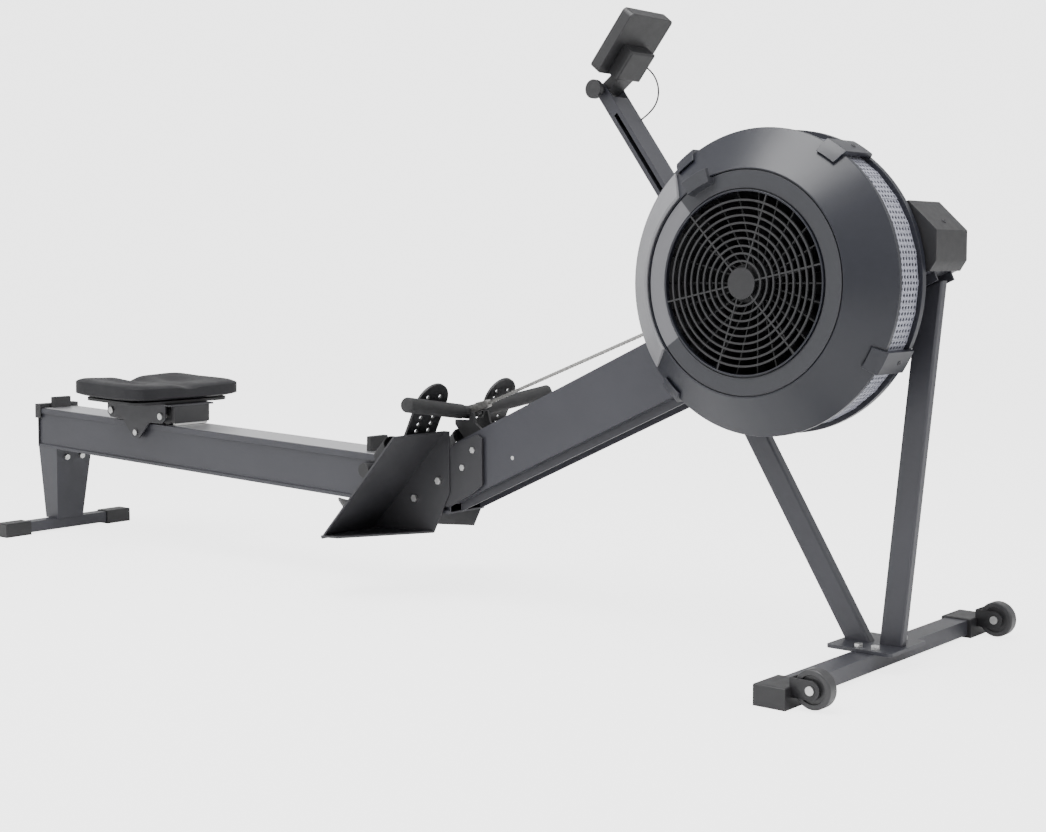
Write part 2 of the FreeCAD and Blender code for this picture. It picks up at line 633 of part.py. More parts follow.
# fan wheel, its axle and bearings
VANES = 24
VANE_THICK = 2.5
DISC_THICK = 6.0
FAN_HUB_RADIUS = 30.0
fan_bore = AXLE_RADIUS + RUN_CLEAR
disc_y = band_back - DISC_THICK
disc_front = disc_y - DISC_THICK
hub_front = fan_front + 12
vane_front = cover_back - 12
vane_end = FLYWHEEL_RADIUS - 4
fly_profile = [(fan_bore, disc_y), (FLYWHEEL_RADIUS, disc_y), (FLYWHEEL_RADIUS, disc_front),
               (FAN_HUB_RADIUS, disc_front), (FAN_HUB_RADIUS, hub_front), (fan_bore, hub_front)]
vane_profile = [(FAN_HUB_RADIUS - 2, disc_front + 1), (vane_end, disc_front + 1), (vane_end, cover_back),
                (CONE_RADIUS, vane_front), (FAN_HUB_RADIUS - 2, vane_front)]
wheel_parts = [turned(fan_x, fan_z, fly_profile)]
for k in range(VANES):
    outline = [Vector(r, y, -VANE_THICK / 2) for r, y in vane_profile + vane_profile[:1]]
    vane = Part.Face(Part.makePolygon(outline)).extrude(Vector(0, 0, VANE_THICK))
    vane.rotate(Vector(0, 0, 0), Vector(0, -1, 0), k * 360 / VANES)
    vane.translate(Vector(fan_x, 0, fan_z))
    wheel_parts.append(vane)
save("flywheel", fuse(wheel_parts))
BEARING_WIDTH = 10.0
AXLE_NUT_RADIUS = 13.0
axle_end = half_beam + 4
bearing_starts = (-axle_end, axle_end - BEARING_WIDTH)
axle = rod_y(fan_x, fan_z, fan_front + 9, axle_end, AXLE_RADIUS)
axle_nut = rod_y(fan_x, fan_z, axle_end, axle_end + 5, AXLE_NUT_RADIUS)
bearings = [ring_y(fan_x, fan_z, y, y + BEARING_WIDTH, BEARING_RADIUS, AXLE_RADIUS) for y in bearing_starts]
save("fan_axle", axle.fuse(axle_nut), *bearings)
SPROCKET_HUB = 14.0
HUB_HALF = 9.0
TOOTH_HALF = 3.0
sprocket_profile = [(fan_bore, -HUB_HALF), (SPROCKET_HUB, -HUB_HALF), (SPROCKET_HUB, -TOOTH_HALF),
                    (SPROCKET_RADIUS, -TOOTH_HALF), (SPROCKET_RADIUS, TOOTH_HALF), (SPROCKET_HUB, TOOTH_HALF),
                    (SPROCKET_HUB, HUB_HALF), (fan_bore, HUB_HALF)]
save("sprocket", turned(fan_x, fan_z, sprocket_profile))

# ---------------------------------------------------------------- chain and return cord
reach_x = fan_x - HANDLE_X
reach_z = fan_z - HANDLE_Z
handle_reach = math.hypot(reach_x, reach_z)
chain_tilt = math.degrees(math.atan2(reach_z, reach_x) + math.asin(chain_radius / handle_reach))
chain_run = math.sqrt(handle_reach ** 2 - chain_radius ** 2)
CONNECTOR_END = 60.0
half_chain = CHAIN_WIDTH / 2
half_height = CHAIN_HEIGHT / 2


def lay_chain(shape):
    return lay(shape, HANDLE_X, HANDLE_Z, chain_tilt)


top_run = box(CONNECTOR_END + GAP, chain_run, -half_chain, half_chain, -half_height, half_height)
save("chain_top", lay_chain(top_run))
wrap_profile = [(chain_radius - half_height, -half_chain), (chain_radius + half_height, -half_chain),
                (chain_radius + half_height, half_chain), (chain_radius - half_height, half_chain)]
wrap_start = BEAM_TILT - 90
wrap = turned(fan_x, fan_z, wrap_profile, wrap_start, 90 + chain_tilt - wrap_start)
HOOK_START = 400.0
HOOK_END = 430.0
ANCHOR_ALONG = 700.0
HOOK_HALF = 6.0
inner_run = box(HOOK_END, AXLE_ALONG, -half_chain, half_chain,
                -RETURN_DEPTH - half_height, -RETURN_DEPTH + half_height)
hook = box(HOOK_START, HOOK_END, -HOOK_HALF, HOOK_HALF, -RETURN_DEPTH - HOOK_HALF, -RETURN_DEPTH + HOOK_HALF)
save("chain_inner", wrap, lay_beam(inner_run.fuse(hook)))
low_depth = 2 * PULLEY_DEPTH - RETURN_DEPTH
cord_way = Vector(1, 0, 0)
upper_start = Vector(PULLEY_ALONG, 0, -RETURN_DEPTH)
lower_start = Vector(PULLEY_ALONG, 0, -low_depth)
upper_run = Part.makeCylinder(CORD_RADIUS, HOOK_START - PULLEY_ALONG, upper_start, cord_way)
lower_run = Part.makeCylinder(CORD_RADIUS, ANCHOR_ALONG - PULLEY_ALONG, lower_start, cord_way)
cord_circle = Part.makeCircle(CORD_RADIUS, upper_start, cord_way)
pulley_centre = Vector(PULLEY_ALONG, 0, -PULLEY_DEPTH)
bend = Part.Face(Part.Wire(cord_circle)).revolve(pulley_centre, Vector(0, -1, 0), 180)
save("bungee", lay_beam(fuse([upper_run, bend, lower_run])))
anchor = lay_beam(rod_y(ANCHOR_ALONG + CORD_RADIUS, -low_depth, -inner_half, inner_half, CORD_RADIUS))
pulley_x, pulley_z = beam_spot(PULLEY_ALONG, -PULLEY_DEPTH)
pulley_floor = PULLEY_RADIUS - GAP
pulley_rim = PULLEY_RADIUS + 2 * CORD_RADIUS
groove = CORD_RADIUS + GAP
pulley_bore = PULLEY_PIN + RUN_CLEAR
pulley_side = groove + 3.0
pulley_profile = [(pulley_bore, -pulley_side), (pulley_rim, -pulley_side), (pulley_rim, -groove),
                  (pulley_floor, -groove), (pulley_floor, groove), (pulley_rim, groove),
                  (pulley_rim, pulley_side), (pulley_bore, pulley_side)]
save("return_pulley", turned(pulley_x, pulley_z, pulley_profile))
pulley_pin = rod_y(pulley_x, pulley_z, -half_beam, half_beam, PULLEY_PIN)

# chain guide on the beam
GUIDE_ALONG = 690.0
GUIDE_LENGTH = 40.0
GUIDE_HALF = 11.0
GUIDE_HEIGHT = 24.0
GUIDE_WALL = 3.0
trough_half = GUIDE_HALF - GUIDE_WALL
trough = box(GUIDE_ALONG - 1, GUIDE_ALONG + GUIDE_LENGTH + 1, -trough_half, trough_half,
             GUIDE_WALL, GUIDE_HEIGHT + 1)
guide = box(GUIDE_ALONG, GUIDE_ALONG + GUIDE_LENGTH, -GUIDE_HALF, GUIDE_HALF, 0, GUIDE_HEIGHT)
guide = lay_beam(guide.cut(trough))

# ---------------------------------------------------------------- handle and its hook
half_handle = HANDLE_WIDTH / 2
centre = Vector(HANDLE_X, 0, HANDLE_Z)
arms = [Vector(HANDLE_SWEEP, s * half_handle, HANDLE_RISE) for s in (-1, 1)]
CENTRE_RADIUS = GRIP_RADIUS - 1.5
GRIP_END = 6.0
GRIP_ROUND = 4.0
core_parts = [Part.makeSphere(CENTRE_RADIUS, centre)]
grips = []
for arm in arms:
    way = Vector(arm).normalize()
    tip = arm.Length
    core_parts.append(Part.makeCylinder(CENTRE_RADIUS, CORE_HALF, centre, way))
    core_parts.append(Part.makeCylinder(CORE_RADIUS, tip - GRIP_END, centre, way))
    grip = Part.makeCylinder(GRIP_RADIUS, tip - CORE_HALF, centre + way * CORE_HALF, way)
    tip_edges = [e for e in grip.Edges if e.Closed and e.CenterOfMass.sub(centre).Length > tip - 2]
    grip = grip.makeFillet(GRIP_ROUND, tip_edges)
    grips.append(grip.cut(Part.makeCylinder(CORE_RADIUS, tip - GRIP_END, centre, way)))
handle_core = fuse(core_parts)
save("handle_core", handle_core)
save("handle_grips", *grips)
CONNECTOR_HALF = 6.0
CONNECTOR_RISE = 7.0
connector = box(0, CONNECTOR_END, -CONNECTOR_HALF, CONNECTOR_HALF, -CONNECTOR_RISE, CONNECTOR_RISE)
connector = lay_chain(connector).cut(handle_core)
connector = max(connector.Solids, key=lambda solid: solid.Volume)
save("chain_connector", connector)

HOOK_INNER = 18.0
HOOK_PRONG = 6.0
saddle = 1 - GRIP_RADIUS
stop = GRIP_RADIUS + 8.5
hook_outline = [(-13, saddle - 9.5), (-13, saddle), (stop, saddle + 1.5), (stop + 6, 4), (stop + 12, 4),
                (stop + 18, saddle - 4.5)]
hook_points = [(HANDLE_X + dx, HANDLE_Z + dz) for dx, dz in hook_outline]
HOOK_BASE = 5.0
foot_front = BEAM_FOOT_X + 56
foot_back = BEAM_FOOT_X + 9
front_z = beam_top(foot_front)
back_z = beam_top(foot_back)
hook_points += [(foot_front, front_z), (foot_back, back_z)]
hook_reach = HOOK_INNER + HOOK_PRONG
base_outline = [(foot_back, back_z), (foot_front, front_z), (foot_front, front_z + HOOK_BASE),
                (foot_back, back_z + HOOK_BASE)]
hook_base = plate_y(base_outline, -hook_reach, hook_reach)
prongs = [plate_y(hook_points, *span(side, HOOK_INNER, HOOK_PRONG)) for side in (-1, 1)]
save("handle_hook", fuse([hook_base] + prongs), guide)

# ---------------------------------------------------------------- seat and its carriage
seat_along = (SEAT_X - RAIL_REAR_X) / math.cos(math.radians(RAIL_TILT))
roller_up = ROLLER_RADIUS + GAP
CARRIAGE_Y = half_rail + CARRIAGE_GAP
plate_outer = CARRIAGE_Y + PLATE
guide_drop = TRACK_THICK + RAIL_FLANGE + GAP + GUIDE_RADIUS
PLATE_TOP = 2 * ROLLER_RADIUS + 5
PAD_BASE = PLATE_TOP + PLATE + 7
ROLLER_HALF = 44.0
WAIST_HALF = 20.0
WAIST_RADIUS = 9.0
roller_bore = ROLLER_AXLE + RUN_CLEAR
roller_profile = [(roller_bore, -ROLLER_HALF), (ROLLER_RADIUS, -ROLLER_HALF), (ROLLER_RADIUS, -WAIST_HALF),
                  (WAIST_RADIUS, -WAIST_HALF), (WAIST_RADIUS, WAIST_HALF), (ROLLER_RADIUS, WAIST_HALF),
                  (ROLLER_RADIUS, ROLLER_HALF), (roller_bore, ROLLER_HALF)]
for name, offset in (("seat_roller_rear", -ROLLER_SPREAD), ("seat_roller_front", ROLLER_SPREAD)):
    save(name, lay_rail(turned(seat_along + offset, roller_up, roller_profile)))
GUIDE_WIDTH = 6.6
guide_gap = 2 * GAP
guide_in = CARRIAGE_Y - guide_gap - GUIDE_WIDTH


def guide_roller(side):
    bore = GUIDE_AXLE + RUN_CLEAR
    ring = ring_y(seat_along, -guide_drop, guide_in, guide_in + GUIDE_WIDTH, GUIDE_RADIUS, bore)
    return lay_rail(ring if side > 0 else mirror_y(ring))


save("guide_rollers", guide_roller(-1), guide_roller(1))

SIDE_HALF = 110.0
GUARD_START = ROLLER_SPREAD + ROLLER_RADIUS + 3.0
GUARD_END = GUARD_START + 14.0
GUARD_HALF = 50.0
GUARD_LIFT = 6.0
WIPER_INSET = 2.0
AXLE_HEAD = 4.0
AXLE_HEAD_RADIUS = 8.0
side_front = [(10, -guide_drop - 13), (18, -guide_drop - 6), (50, 2), (SIDE_HALF - 12, 4), (SIDE_HALF, 14),
              (SIDE_HALF, PLATE_TOP)]
side_outline = [(-along, up) for along, up in reversed(side_front)] + side_front
sides = []
roller_spots = (seat_along - ROLLER_SPREAD, seat_along + ROLLER_SPREAD)
axle_spots = [(along, roller_up, ROLLER_AXLE) for along in roller_spots]
axle_spots.append((seat_along, -guide_drop, GUIDE_AXLE))
for side in (-1, 1):
    lo, hi = span(side, CARRIAGE_Y, PLATE)
    plate = plate_y([(seat_along + a, up) for a, up in side_outline], lo, hi)
    for along, up, radius in axle_spots:
        plate = plate.cut(rod_y(along, up, lo - 1, hi + 1, radius))
    sides.append(lay_rail(plate))
carriage_top = box(seat_along - SIDE_HALF, seat_along + GUARD_END, -plate_outer, plate_outer,
                   PLATE_TOP, PLATE_TOP + PLATE)
save("seat_carriage", fuse([lay_rail(carriage_top)] + sides))
axles = []
for along in roller_spots:
    shaft = rod_y(along, roller_up, -plate_outer, plate_outer, ROLLER_AXLE)
    ends = [rod_y(along, roller_up, *span(side, plate_outer, AXLE_HEAD), AXLE_HEAD_RADIUS)
            for side in (-1, 1)]
    axles.append(lay_rail(fuse([shaft] + ends)))
pin_start = guide_in - 0.5
for side in (-1, 1):
    pin = rod_y(seat_along, -guide_drop, *span(side, pin_start, plate_outer - pin_start), GUIDE_AXLE)
    head = rod_y(seat_along, -guide_drop, *span(side, plate_outer, AXLE_HEAD), AXLE_HEAD_RADIUS - 1)
    axles.append(lay_rail(pin.fuse(head)))
save("seat_axles", *axles)
guard = box(seat_along + GUARD_START, seat_along + GUARD_END, -GUARD_HALF, GUARD_HALF, GUARD_LIFT, PLATE_TOP)
wiper = box(seat_along + GUARD_START + WIPER_INSET, seat_along + GUARD_END - WIPER_INSET,
            -TRACK_WIDTH / 2, TRACK_WIDTH / 2, 1, GUARD_LIFT)
save("track_wiper", lay_rail(wiper))
pad_back = seat_along - SEAT_LENGTH / 2
pad_front = seat_along + SEAT_LENGTH / 2
pad = box(pad_back, pad_front, -SEAT_WIDTH / 2, SEAT_WIDTH / 2, 0, SEAT_THICK)
pad = pad.makeFillet(SEAT_CORNER, upright(pad))
pad = pad.makeFillet(SEAT_ROUND, [e for e in pad.Edges if e.BoundBox.ZMin > SEAT_THICK - 1])
pad.translate(Vector(0, 0, PAD_BASE))
save("seat_pad", lay_rail(pad))
SHELL_INSET = 22.0
shell_half = SEAT_WIDTH / 2 - SHELL_INSET
shell = box(pad_back + SHELL_INSET, pad_front - SHELL_INSET, -shell_half, shell_half,
            PLATE_TOP + PLATE, PAD_BASE)
shell = shell.makeFillet(SEAT_CORNER - SHELL_INSET / 2, upright(shell))
save("seat_base", lay_rail(shell), lay_rail(guard))

# ---------------------------------------------------------------- foot boards and foot cradles
BOARD_THICK = 4.0
FLANGE_THICK = 2.5
BOARD_INNER_Y = joint_face + FLANGE_THICK
FOOT_Y = joint_face + 0.5 + FLEX_WIDTH / 2
LIP_SLOPE = 3.0
board_top_x, board_top_z = spot(BOARD_HEEL_X, BOARD_HEEL_Z, BOARD_TILT, BOARD_LENGTH, 0)
LIP_SHORT = 48.4
LIP_LONG = 176.6


def lay_board(shape):
    return lay(shape, BOARD_HEEL_X, BOARD_HEEL_Z, BOARD_TILT)


def footboard():
    board = lay_board(box(0, BOARD_LENGTH, BOARD_INNER_Y, BOARD_OUTER_Y, -BOARD_THICK, 0))
    corners = ((0, BOARD_OUTER_Y), (LIP_SHORT, BOARD_OUTER_Y), (LIP_LONG, BOARD_INNER_Y), (0, BOARD_INNER_Y))
    plan = [Vector(x, y, 0) for x, y in corners]
    heel_lip = Part.Face(Part.makePolygon(plan + plan[:1])).extrude(Vector(0, 0, BOARD_THICK))
    heel_lip = lay(heel_lip, BOARD_HEEL_X, BOARD_HEEL_Z, LIP_SLOPE)
    flange_points = [(BOARD_HEEL_X, BOARD_HEEL_Z), (159, 131), (203, 214), (203, board_top_z),
                     (board_top_x, board_top_z)]
    inner = plate_y(flange_points, BOARD_INNER_Y - FLANGE_THICK, BOARD_INNER_Y)
    return fuse([board, heel_lip, inner])


board_bolts = []
board_bolt_points = [(110, 196), (176, 236)]
board_left = footboard()
for x, z in board_bolt_points:
    board_left = board_left.cut(rod_y(x, z, joint_face - 1, BOARD_INNER_Y + 1, BOLT_RADIUS))
    for side in (-1, 1):
        head = Vector(x, side * BOARD_INNER_Y, z)
        board_bolts.append(hex_bolt(head, Vector(0, side, 0),
                                    BOLT_ACROSS, BOLT_HEAD, BOLT_RADIUS, FLANGE_THICK))
save("footboard_left", board_left)
save("footboard_right", mirror_y(board_left))
save("frame_bolts", *board_bolts, *joint_bolts, *base_bolts, *leg_bolts, *wheel_bolts)

flex_top = FLEX_LIFT + FLEX_THICK
half_flex = FLEX_WIDTH / 2
FLEX_START = 20.0
FLEX_BREAK = 276.0
TOE_LENGTH = 110.7
TOE_TILT = 17.3
CUP_HEIGHT = 42.0
CUP_WALL = 3.5
STRAP_START = 175.0
STRAP_WIDTH = 38.0
STRAP_THICK = 2.0
STRAP_HALF = 36.0
STRAP_RISE = 50.0
TOE_HOLES = 6
TOE_HOLE_PITCH = 15.0
TOE_HOLE_Y = 17.0
TOE_HOLE_RADIUS = 4.5
RIB_Y = 30.0
RIB_HALF = 3.0
strap_end = STRAP_START + STRAP_WIDTH
cup_centre = FLEX_START + half_flex


def flexfoot():
    sole = box(cup_centre, FLEX_BREAK, -half_flex, half_flex, FLEX_LIFT, flex_top)
    heel = Part.makeCylinder(half_flex, FLEX_THICK, Vector(cup_centre, 0, FLEX_LIFT))
    cup = Part.makeCylinder(half_flex, FLEX_THICK + CUP_HEIGHT, Vector(cup_centre, 0, FLEX_LIFT))
    cup = cup.cut(Part.makeCylinder(half_flex - CUP_WALL, 200, Vector(cup_centre, 0, 0)))
    cup_high = cup_centre - 20
    cup_low = cup_centre + 12
    sweep_off = plate_y([(cup_high, flex_top + CUP_HEIGHT + 1), (cup_low, flex_top + 6), (cup_low, 0),
                         (cup_centre + 200, 0), (cup_centre + 200, 200), (cup_high, 200)], -100, 100)
    cup = cup.cut(sweep_off)
    toe = box(-4, TOE_LENGTH - half_flex, -half_flex, half_flex, -FLEX_THICK, 0)
    toe = toe.fuse(Part.makeCylinder(half_flex, FLEX_THICK, Vector(TOE_LENGTH - half_flex, 0, -FLEX_THICK)))
    for k in range(TOE_HOLES):
        for y in (-TOE_HOLE_Y, TOE_HOLE_Y):
            toe = toe.cut(Part.makeCylinder(TOE_HOLE_RADIUS, 20, Vector(8 + TOE_HOLE_PITCH * k, y, -10)))
    toe = lay(toe, FLEX_BREAK, flex_top, TOE_TILT)
    ribs = []
    for y in (-RIB_Y, RIB_Y):
        for u0, u1 in ((cup_centre, STRAP_START - 4), (strap_end + 4, FLEX_BREAK - 10)):
            ribs.append(box(u0, u1, y - RIB_HALF, y + RIB_HALF, GAP + 0.1, FLEX_LIFT))
    solid = fuse([sole, heel, cup, toe] + ribs)
    for side in (-1, 1):
        lo, hi = span(side, STRAP_HALF - STRAP_THICK, STRAP_THICK)
        solid = solid.cut(box(STRAP_START - GAP, strap_end + GAP, lo - GAP, hi + GAP, 0, flex_top + 1))
    solid.translate(Vector(0, FOOT_Y, 0))
    return lay_board(solid)


def strap_block(inset):
    """The arch of the strap filled in, inset from its outside all round."""
    half = STRAP_HALF - inset
    under = FLEX_LIFT - 0.5 - STRAP_THICK + inset
    spring = flex_top + 2
    crown = flex_top + STRAP_RISE - inset
    outline = ((-half, spring), (0, crown), (half, spring), (half, under), (-half, under))
    points = [Vector(STRAP_START, y, z) for y, z in outline]
    arch = Part.Arc(*points[:3]).toShape()
    lower = Part.makePolygon(points[2:] + points[:1])
    return Part.Face(Part.Wire([arch] + lower.Edges)).extrude(Vector(STRAP_WIDTH, 0, 0))


def strap():
    band = strap_block(0).cut(strap_block(STRAP_THICK))
    band.translate(Vector(0, FOOT_Y, 0))
    return lay_board(band)


def buckle():
    block = box(STRAP_START - 3, strap_end + 3, STRAP_HALF + 1.5, STRAP_HALF + 6,
                flex_top + GAP, flex_top + 18)
    block.translate(Vector(0, FOOT_Y, 0))
    return lay_board(block)


left_cradle = flexfoot()
left_buckle = buckle()
left_strap = strap()
save("flexfoot_left", left_cradle, left_buckle)
save("flexfoot_right", mirror_y(left_cradle), mirror_y(left_buckle))
save("strap_left", left_strap)
save("strap_right", mirror_y(left_strap))

# ---------------------------------------------------------------- monitor arm
arm_x, arm_z = beam_spot(ARM_ALONG, -ARM_DEPTH)
ARM_Y = 51.5
ARM_PLATE = 4.5
arm_turn = 90 + ARM_TILT


def lay_arm(shape):
    return lay(shape, arm_x, arm_z, arm_turn)


half_wide = ARM_WIDE / 2
half_thin = ARM_THIN / 2
arm_profile = [(-20, -10), (-20, 10), (-10, 20), (10, 20), (YOKE_TOP, half_thin), (YOKE_TOP, -half_thin),
               (10, -20), (-10, -20)]
yokes = []
for side in (-1, 1):
    lo, hi = span(side, ARM_Y, ARM_PLATE)
    yokes.append(plate_y(arm_profile, lo, hi).cut(rod_y(0, 0, lo - 1, hi + 1, PIVOT_RADIUS + RUN_CLEAR)))
bridge = box(TUBE_START, YOKE_TOP, -ARM_Y, ARM_Y, -half_thin, half_thin)
yoke_frame = fuse(yokes + [bridge])
PIVOT_ALONG = 522.7
CHEEK = 4.0
tube_end = ARM_LENGTH - 15.0
tube = box(YOKE_TOP, tube_end, -half_wide, half_wide, -half_thin, half_thin)
tube = tube.cut(box(YOKE_TOP - 1, tube_end + 1, -half_wide + TUBE_WALL, half_wide - TUBE_WALL,
                    -half_thin + TUBE_WALL, half_thin - TUBE_WALL))
SLOT_START = 252.0
side_slot = box(SLOT_START, ARM_LENGTH - 40, -half_wide - 1, -half_wide + TUBE_WALL + 1, -4, 4)
tube = tube.cut(side_slot)
cheeks = []
PIN_RADIUS = 4.0
for y0 in (-half_wide, half_wide - CHEEK):
    cheek = box(tube_end, PIVOT_ALONG, y0, y0 + CHEEK, -half_thin, half_thin)
    cheek = cheek.fuse(rod_y(PIVOT_ALONG, 0, y0, y0 + CHEEK, half_thin))
    cheeks.append(cheek.cut(rod_y(PIVOT_ALONG, 0, y0 - 1, y0 + CHEEK + 1, PIN_RADIUS)))
cheek_bridge = box(tube_end, tube_end + 6, -half_wide + CHEEK, half_wide - CHEEK, -half_thin, half_thin)
save("monitor_arm", lay_arm(yoke_frame), lay_arm(tube), lay_arm(fuse(cheeks + [cheek_bridge])))
KNOB_Y = 50.0
KNOB_NECK = 9.0
KNOB_GRIP = 17.0
knob_start = -half_wide - 14.0
neck = rod_y(PIVOT_ALONG, 0, knob_start, -half_wide, KNOB_NECK)
knob = fuse([neck, rod_y(PIVOT_ALONG, 0, -KNOB_Y, knob_start, KNOB_GRIP)])
knob = knob.cut(rod_y(PIVOT_ALONG, 0, -KNOB_Y - 1, -half_wide + 1, PIN_RADIUS))
pin_head = rod_y(PIVOT_ALONG, 0, half_wide, half_wide + 8, KNOB_NECK)
tilt_pin = fuse([rod_y(PIVOT_ALONG, 0, -KNOB_Y, half_wide, PIN_RADIUS), pin_head])
save("tilt_knob", lay_arm(knob), lay_arm(tilt_pin))
stub = rod_y(arm_x, arm_z, half_beam - 10, ARM_Y + ARM_PLATE, PIVOT_RADIUS)
pivots = [stub, mirror_y(stub)]
save("beam_pins", *pivots, anchor, pulley_pin)

# ---------------------------------------------------------------- monitor
SCREEN_X = 553.0
SCREEN_Z = 1008.0
CRADLE_HALF = 35.0
CRADLE_TALL = 58.0
CRADLE_DEEP = 25.0


def lay_case(shape):
    return lay(shape, SCREEN_X, SCREEN_Z, SCREEN_TILT)


case = box(0, CASE_HEIGHT, -CASE_WIDTH / 2, CASE_WIDTH / 2, -CASE_THICK, 0)
case = case.makeFillet(8, upright(case))
BUTTON_UP = 14.0
BUTTON_PITCH = 22.0
BUTTON_RADIUS = 6.0
BUTTONS = 5
GLASS_START = 30.0
GLASS_END = CASE_HEIGHT - 12.0
GLASS_HALF = 50.0
GLASS_DEPTH = 1.5
LUG_RADIUS = 9.0
for k in range(BUTTONS):
    y = (k - (BUTTONS - 1) / 2) * BUTTON_PITCH
    case = case.cut(Part.makeCylinder(BUTTON_RADIUS + GAP, 8, Vector(BUTTON_UP, y, -4)))
    save("button_%d" % (k + 1), lay_case(Part.makeCylinder(BUTTON_RADIUS, 3.5, Vector(BUTTON_UP, y, -2))))
case = case.cut(box(GLASS_START, GLASS_END, -GLASS_HALF, GLASS_HALF, -GLASS_DEPTH, 1))
save("monitor_case", lay_case(case))
save("monitor_screen", lay_case(box(GLASS_START, GLASS_END, -GLASS_HALF, GLASS_HALF, -GLASS_DEPTH, -GAP)))
pivot_x, pivot_z = spot(arm_x, arm_z, arm_turn, PIVOT_ALONG, 0)
turn = math.radians(SCREEN_TILT)
pivot_u = (pivot_x - SCREEN_X) * math.cos(turn) + (pivot_z - SCREEN_Z) * math.sin(turn)
pivot_v = -(pivot_x - SCREEN_X) * math.sin(turn) + (pivot_z - SCREEN_Z) * math.cos(turn)
cradle_back = -CASE_THICK - CRADLE_DEEP
cradle = box(4, 4 + CRADLE_TALL, -CRADLE_HALF, CRADLE_HALF, cradle_back, -CASE_THICK)
cradle = cradle.makeFillet(5, [e for e in cradle.Edges if e.BoundBox.ZMax < cradle_back + 1])
lug_half = half_wide - CHEEK - GAP
lug_points = [(pivot_u, pivot_v - LUG_RADIUS), (5, -CASE_THICK - 20), (5, -CASE_THICK), (-3, -CASE_THICK),
              (pivot_u, pivot_v + LUG_RADIUS)]
lug = plate_y(lug_points, -lug_half, lug_half).fuse(rod_y(pivot_u, pivot_v, -lug_half, lug_half, LUG_RADIUS))
cradle = fuse([cradle, lug]).cut(rod_y(pivot_u, pivot_v, -lug_half - 1, lug_half + 1, PIN_RADIUS + RUN_CLEAR))
save("monitor_cradle", lay_case(cradle))

# ---------------------------------------------------------------- free cable
CABLE_RADIUS = 1.5
CABLE_SETBACK = 0.45
cable_points = [(601, 35.8, 1012), (603, 58, 1004), (611, 68, 978), (613, 62, 950), (607, 46, 928),
                (600, 27.1, 914.6)]


def cord_tube(points, radius):
    """A round cord along straight runs, each corner an arc that meets both runs."""
    nodes = [Vector(*p) for p in points]
    edges = []
    last = nodes[0]
    for before, corner, after in zip(nodes, nodes[1:], nodes[2:]):
        back = before.sub(corner)
        ahead = after.sub(corner)
        half_turn = (math.pi - back.getAngle(ahead)) / 2
        setback = CABLE_SETBACK * min(back.Length, ahead.Length)
        bend_radius = setback / math.tan(half_turn)
        start = corner.add(Vector(back).normalize() * setback)
        end = corner.add(Vector(ahead).normalize() * setback)
        inward = Vector(back).normalize().add(Vector(ahead).normalize()).normalize()
        arc_centre = corner.add(inward * (bend_radius / math.cos(half_turn)))
        middle = arc_centre.sub(inward * bend_radius)
        edges.append(Part.makeLine(last, start))
        edges.append(Part.Arc(start, middle, end).toShape())
        last = end
        print("bend radius %.1f" % bend_radius)
    edges.append(Part.makeLine(last, nodes[-1]))
    path = Part.Wire(edges)
    print("cord length %.1f" % path.Length)
    section = Part.Wire(Part.makeCircle(radius, nodes[0], nodes[1].sub(nodes[0])))
    return path.makePipeShell([section], True, True)


save("monitor_cable", cord_tube(cable_points, CABLE_RADIUS))
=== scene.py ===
import math
import bpy
import bmesh
from mathutils import Matrix, Vector


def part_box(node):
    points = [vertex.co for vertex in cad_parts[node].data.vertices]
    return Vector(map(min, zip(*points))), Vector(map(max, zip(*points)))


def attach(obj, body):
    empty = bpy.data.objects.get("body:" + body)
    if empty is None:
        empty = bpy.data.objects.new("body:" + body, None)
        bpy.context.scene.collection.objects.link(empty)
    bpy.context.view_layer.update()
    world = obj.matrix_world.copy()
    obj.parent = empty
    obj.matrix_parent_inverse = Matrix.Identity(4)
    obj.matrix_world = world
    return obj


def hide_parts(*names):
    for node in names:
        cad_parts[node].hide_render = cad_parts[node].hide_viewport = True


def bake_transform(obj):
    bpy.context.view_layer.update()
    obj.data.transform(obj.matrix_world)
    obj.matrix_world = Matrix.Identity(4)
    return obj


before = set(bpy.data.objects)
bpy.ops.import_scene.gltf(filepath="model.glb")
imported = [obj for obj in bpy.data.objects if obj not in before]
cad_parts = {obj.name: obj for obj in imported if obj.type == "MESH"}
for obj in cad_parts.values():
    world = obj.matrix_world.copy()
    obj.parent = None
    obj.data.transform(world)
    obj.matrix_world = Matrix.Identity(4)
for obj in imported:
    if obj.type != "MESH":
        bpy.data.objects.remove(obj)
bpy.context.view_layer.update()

# ---- View. A normal-length lens a little over three metres away at the front right corner, just above
# half a metre high, so that the whole machine is seen in perspective from the fan's side.
yaw = math.radians(40.4)
dip = math.radians(5.1)
roll = math.radians(-0.3)
side = Vector((math.cos(yaw), math.sin(yaw), 0))
ahead = Vector((-math.sin(yaw) * math.cos(dip), math.cos(yaw) * math.cos(dip), -math.sin(dip)))
above = side.cross(ahead)
side, above = side * math.cos(roll) + above * math.sin(roll), above * math.cos(roll) - side * math.sin(roll)
eye = Vector((2.3749, -2.3892, 0.6482))
camera_data = bpy.data.cameras.new("view")
camera_data.sensor_width = 36
camera_data.lens = 56.51
camera = bpy.data.objects.new("view", camera_data)
camera.matrix_world = Matrix((
    (side.x, above.x, -ahead.x, eye.x), (side.y, above.y, -ahead.y, eye.y),
    (side.z, above.z, -ahead.z, eye.z), (0, 0, 0, 1)))
bpy.context.scene.collection.objects.link(camera)
bpy.context.scene.camera = camera

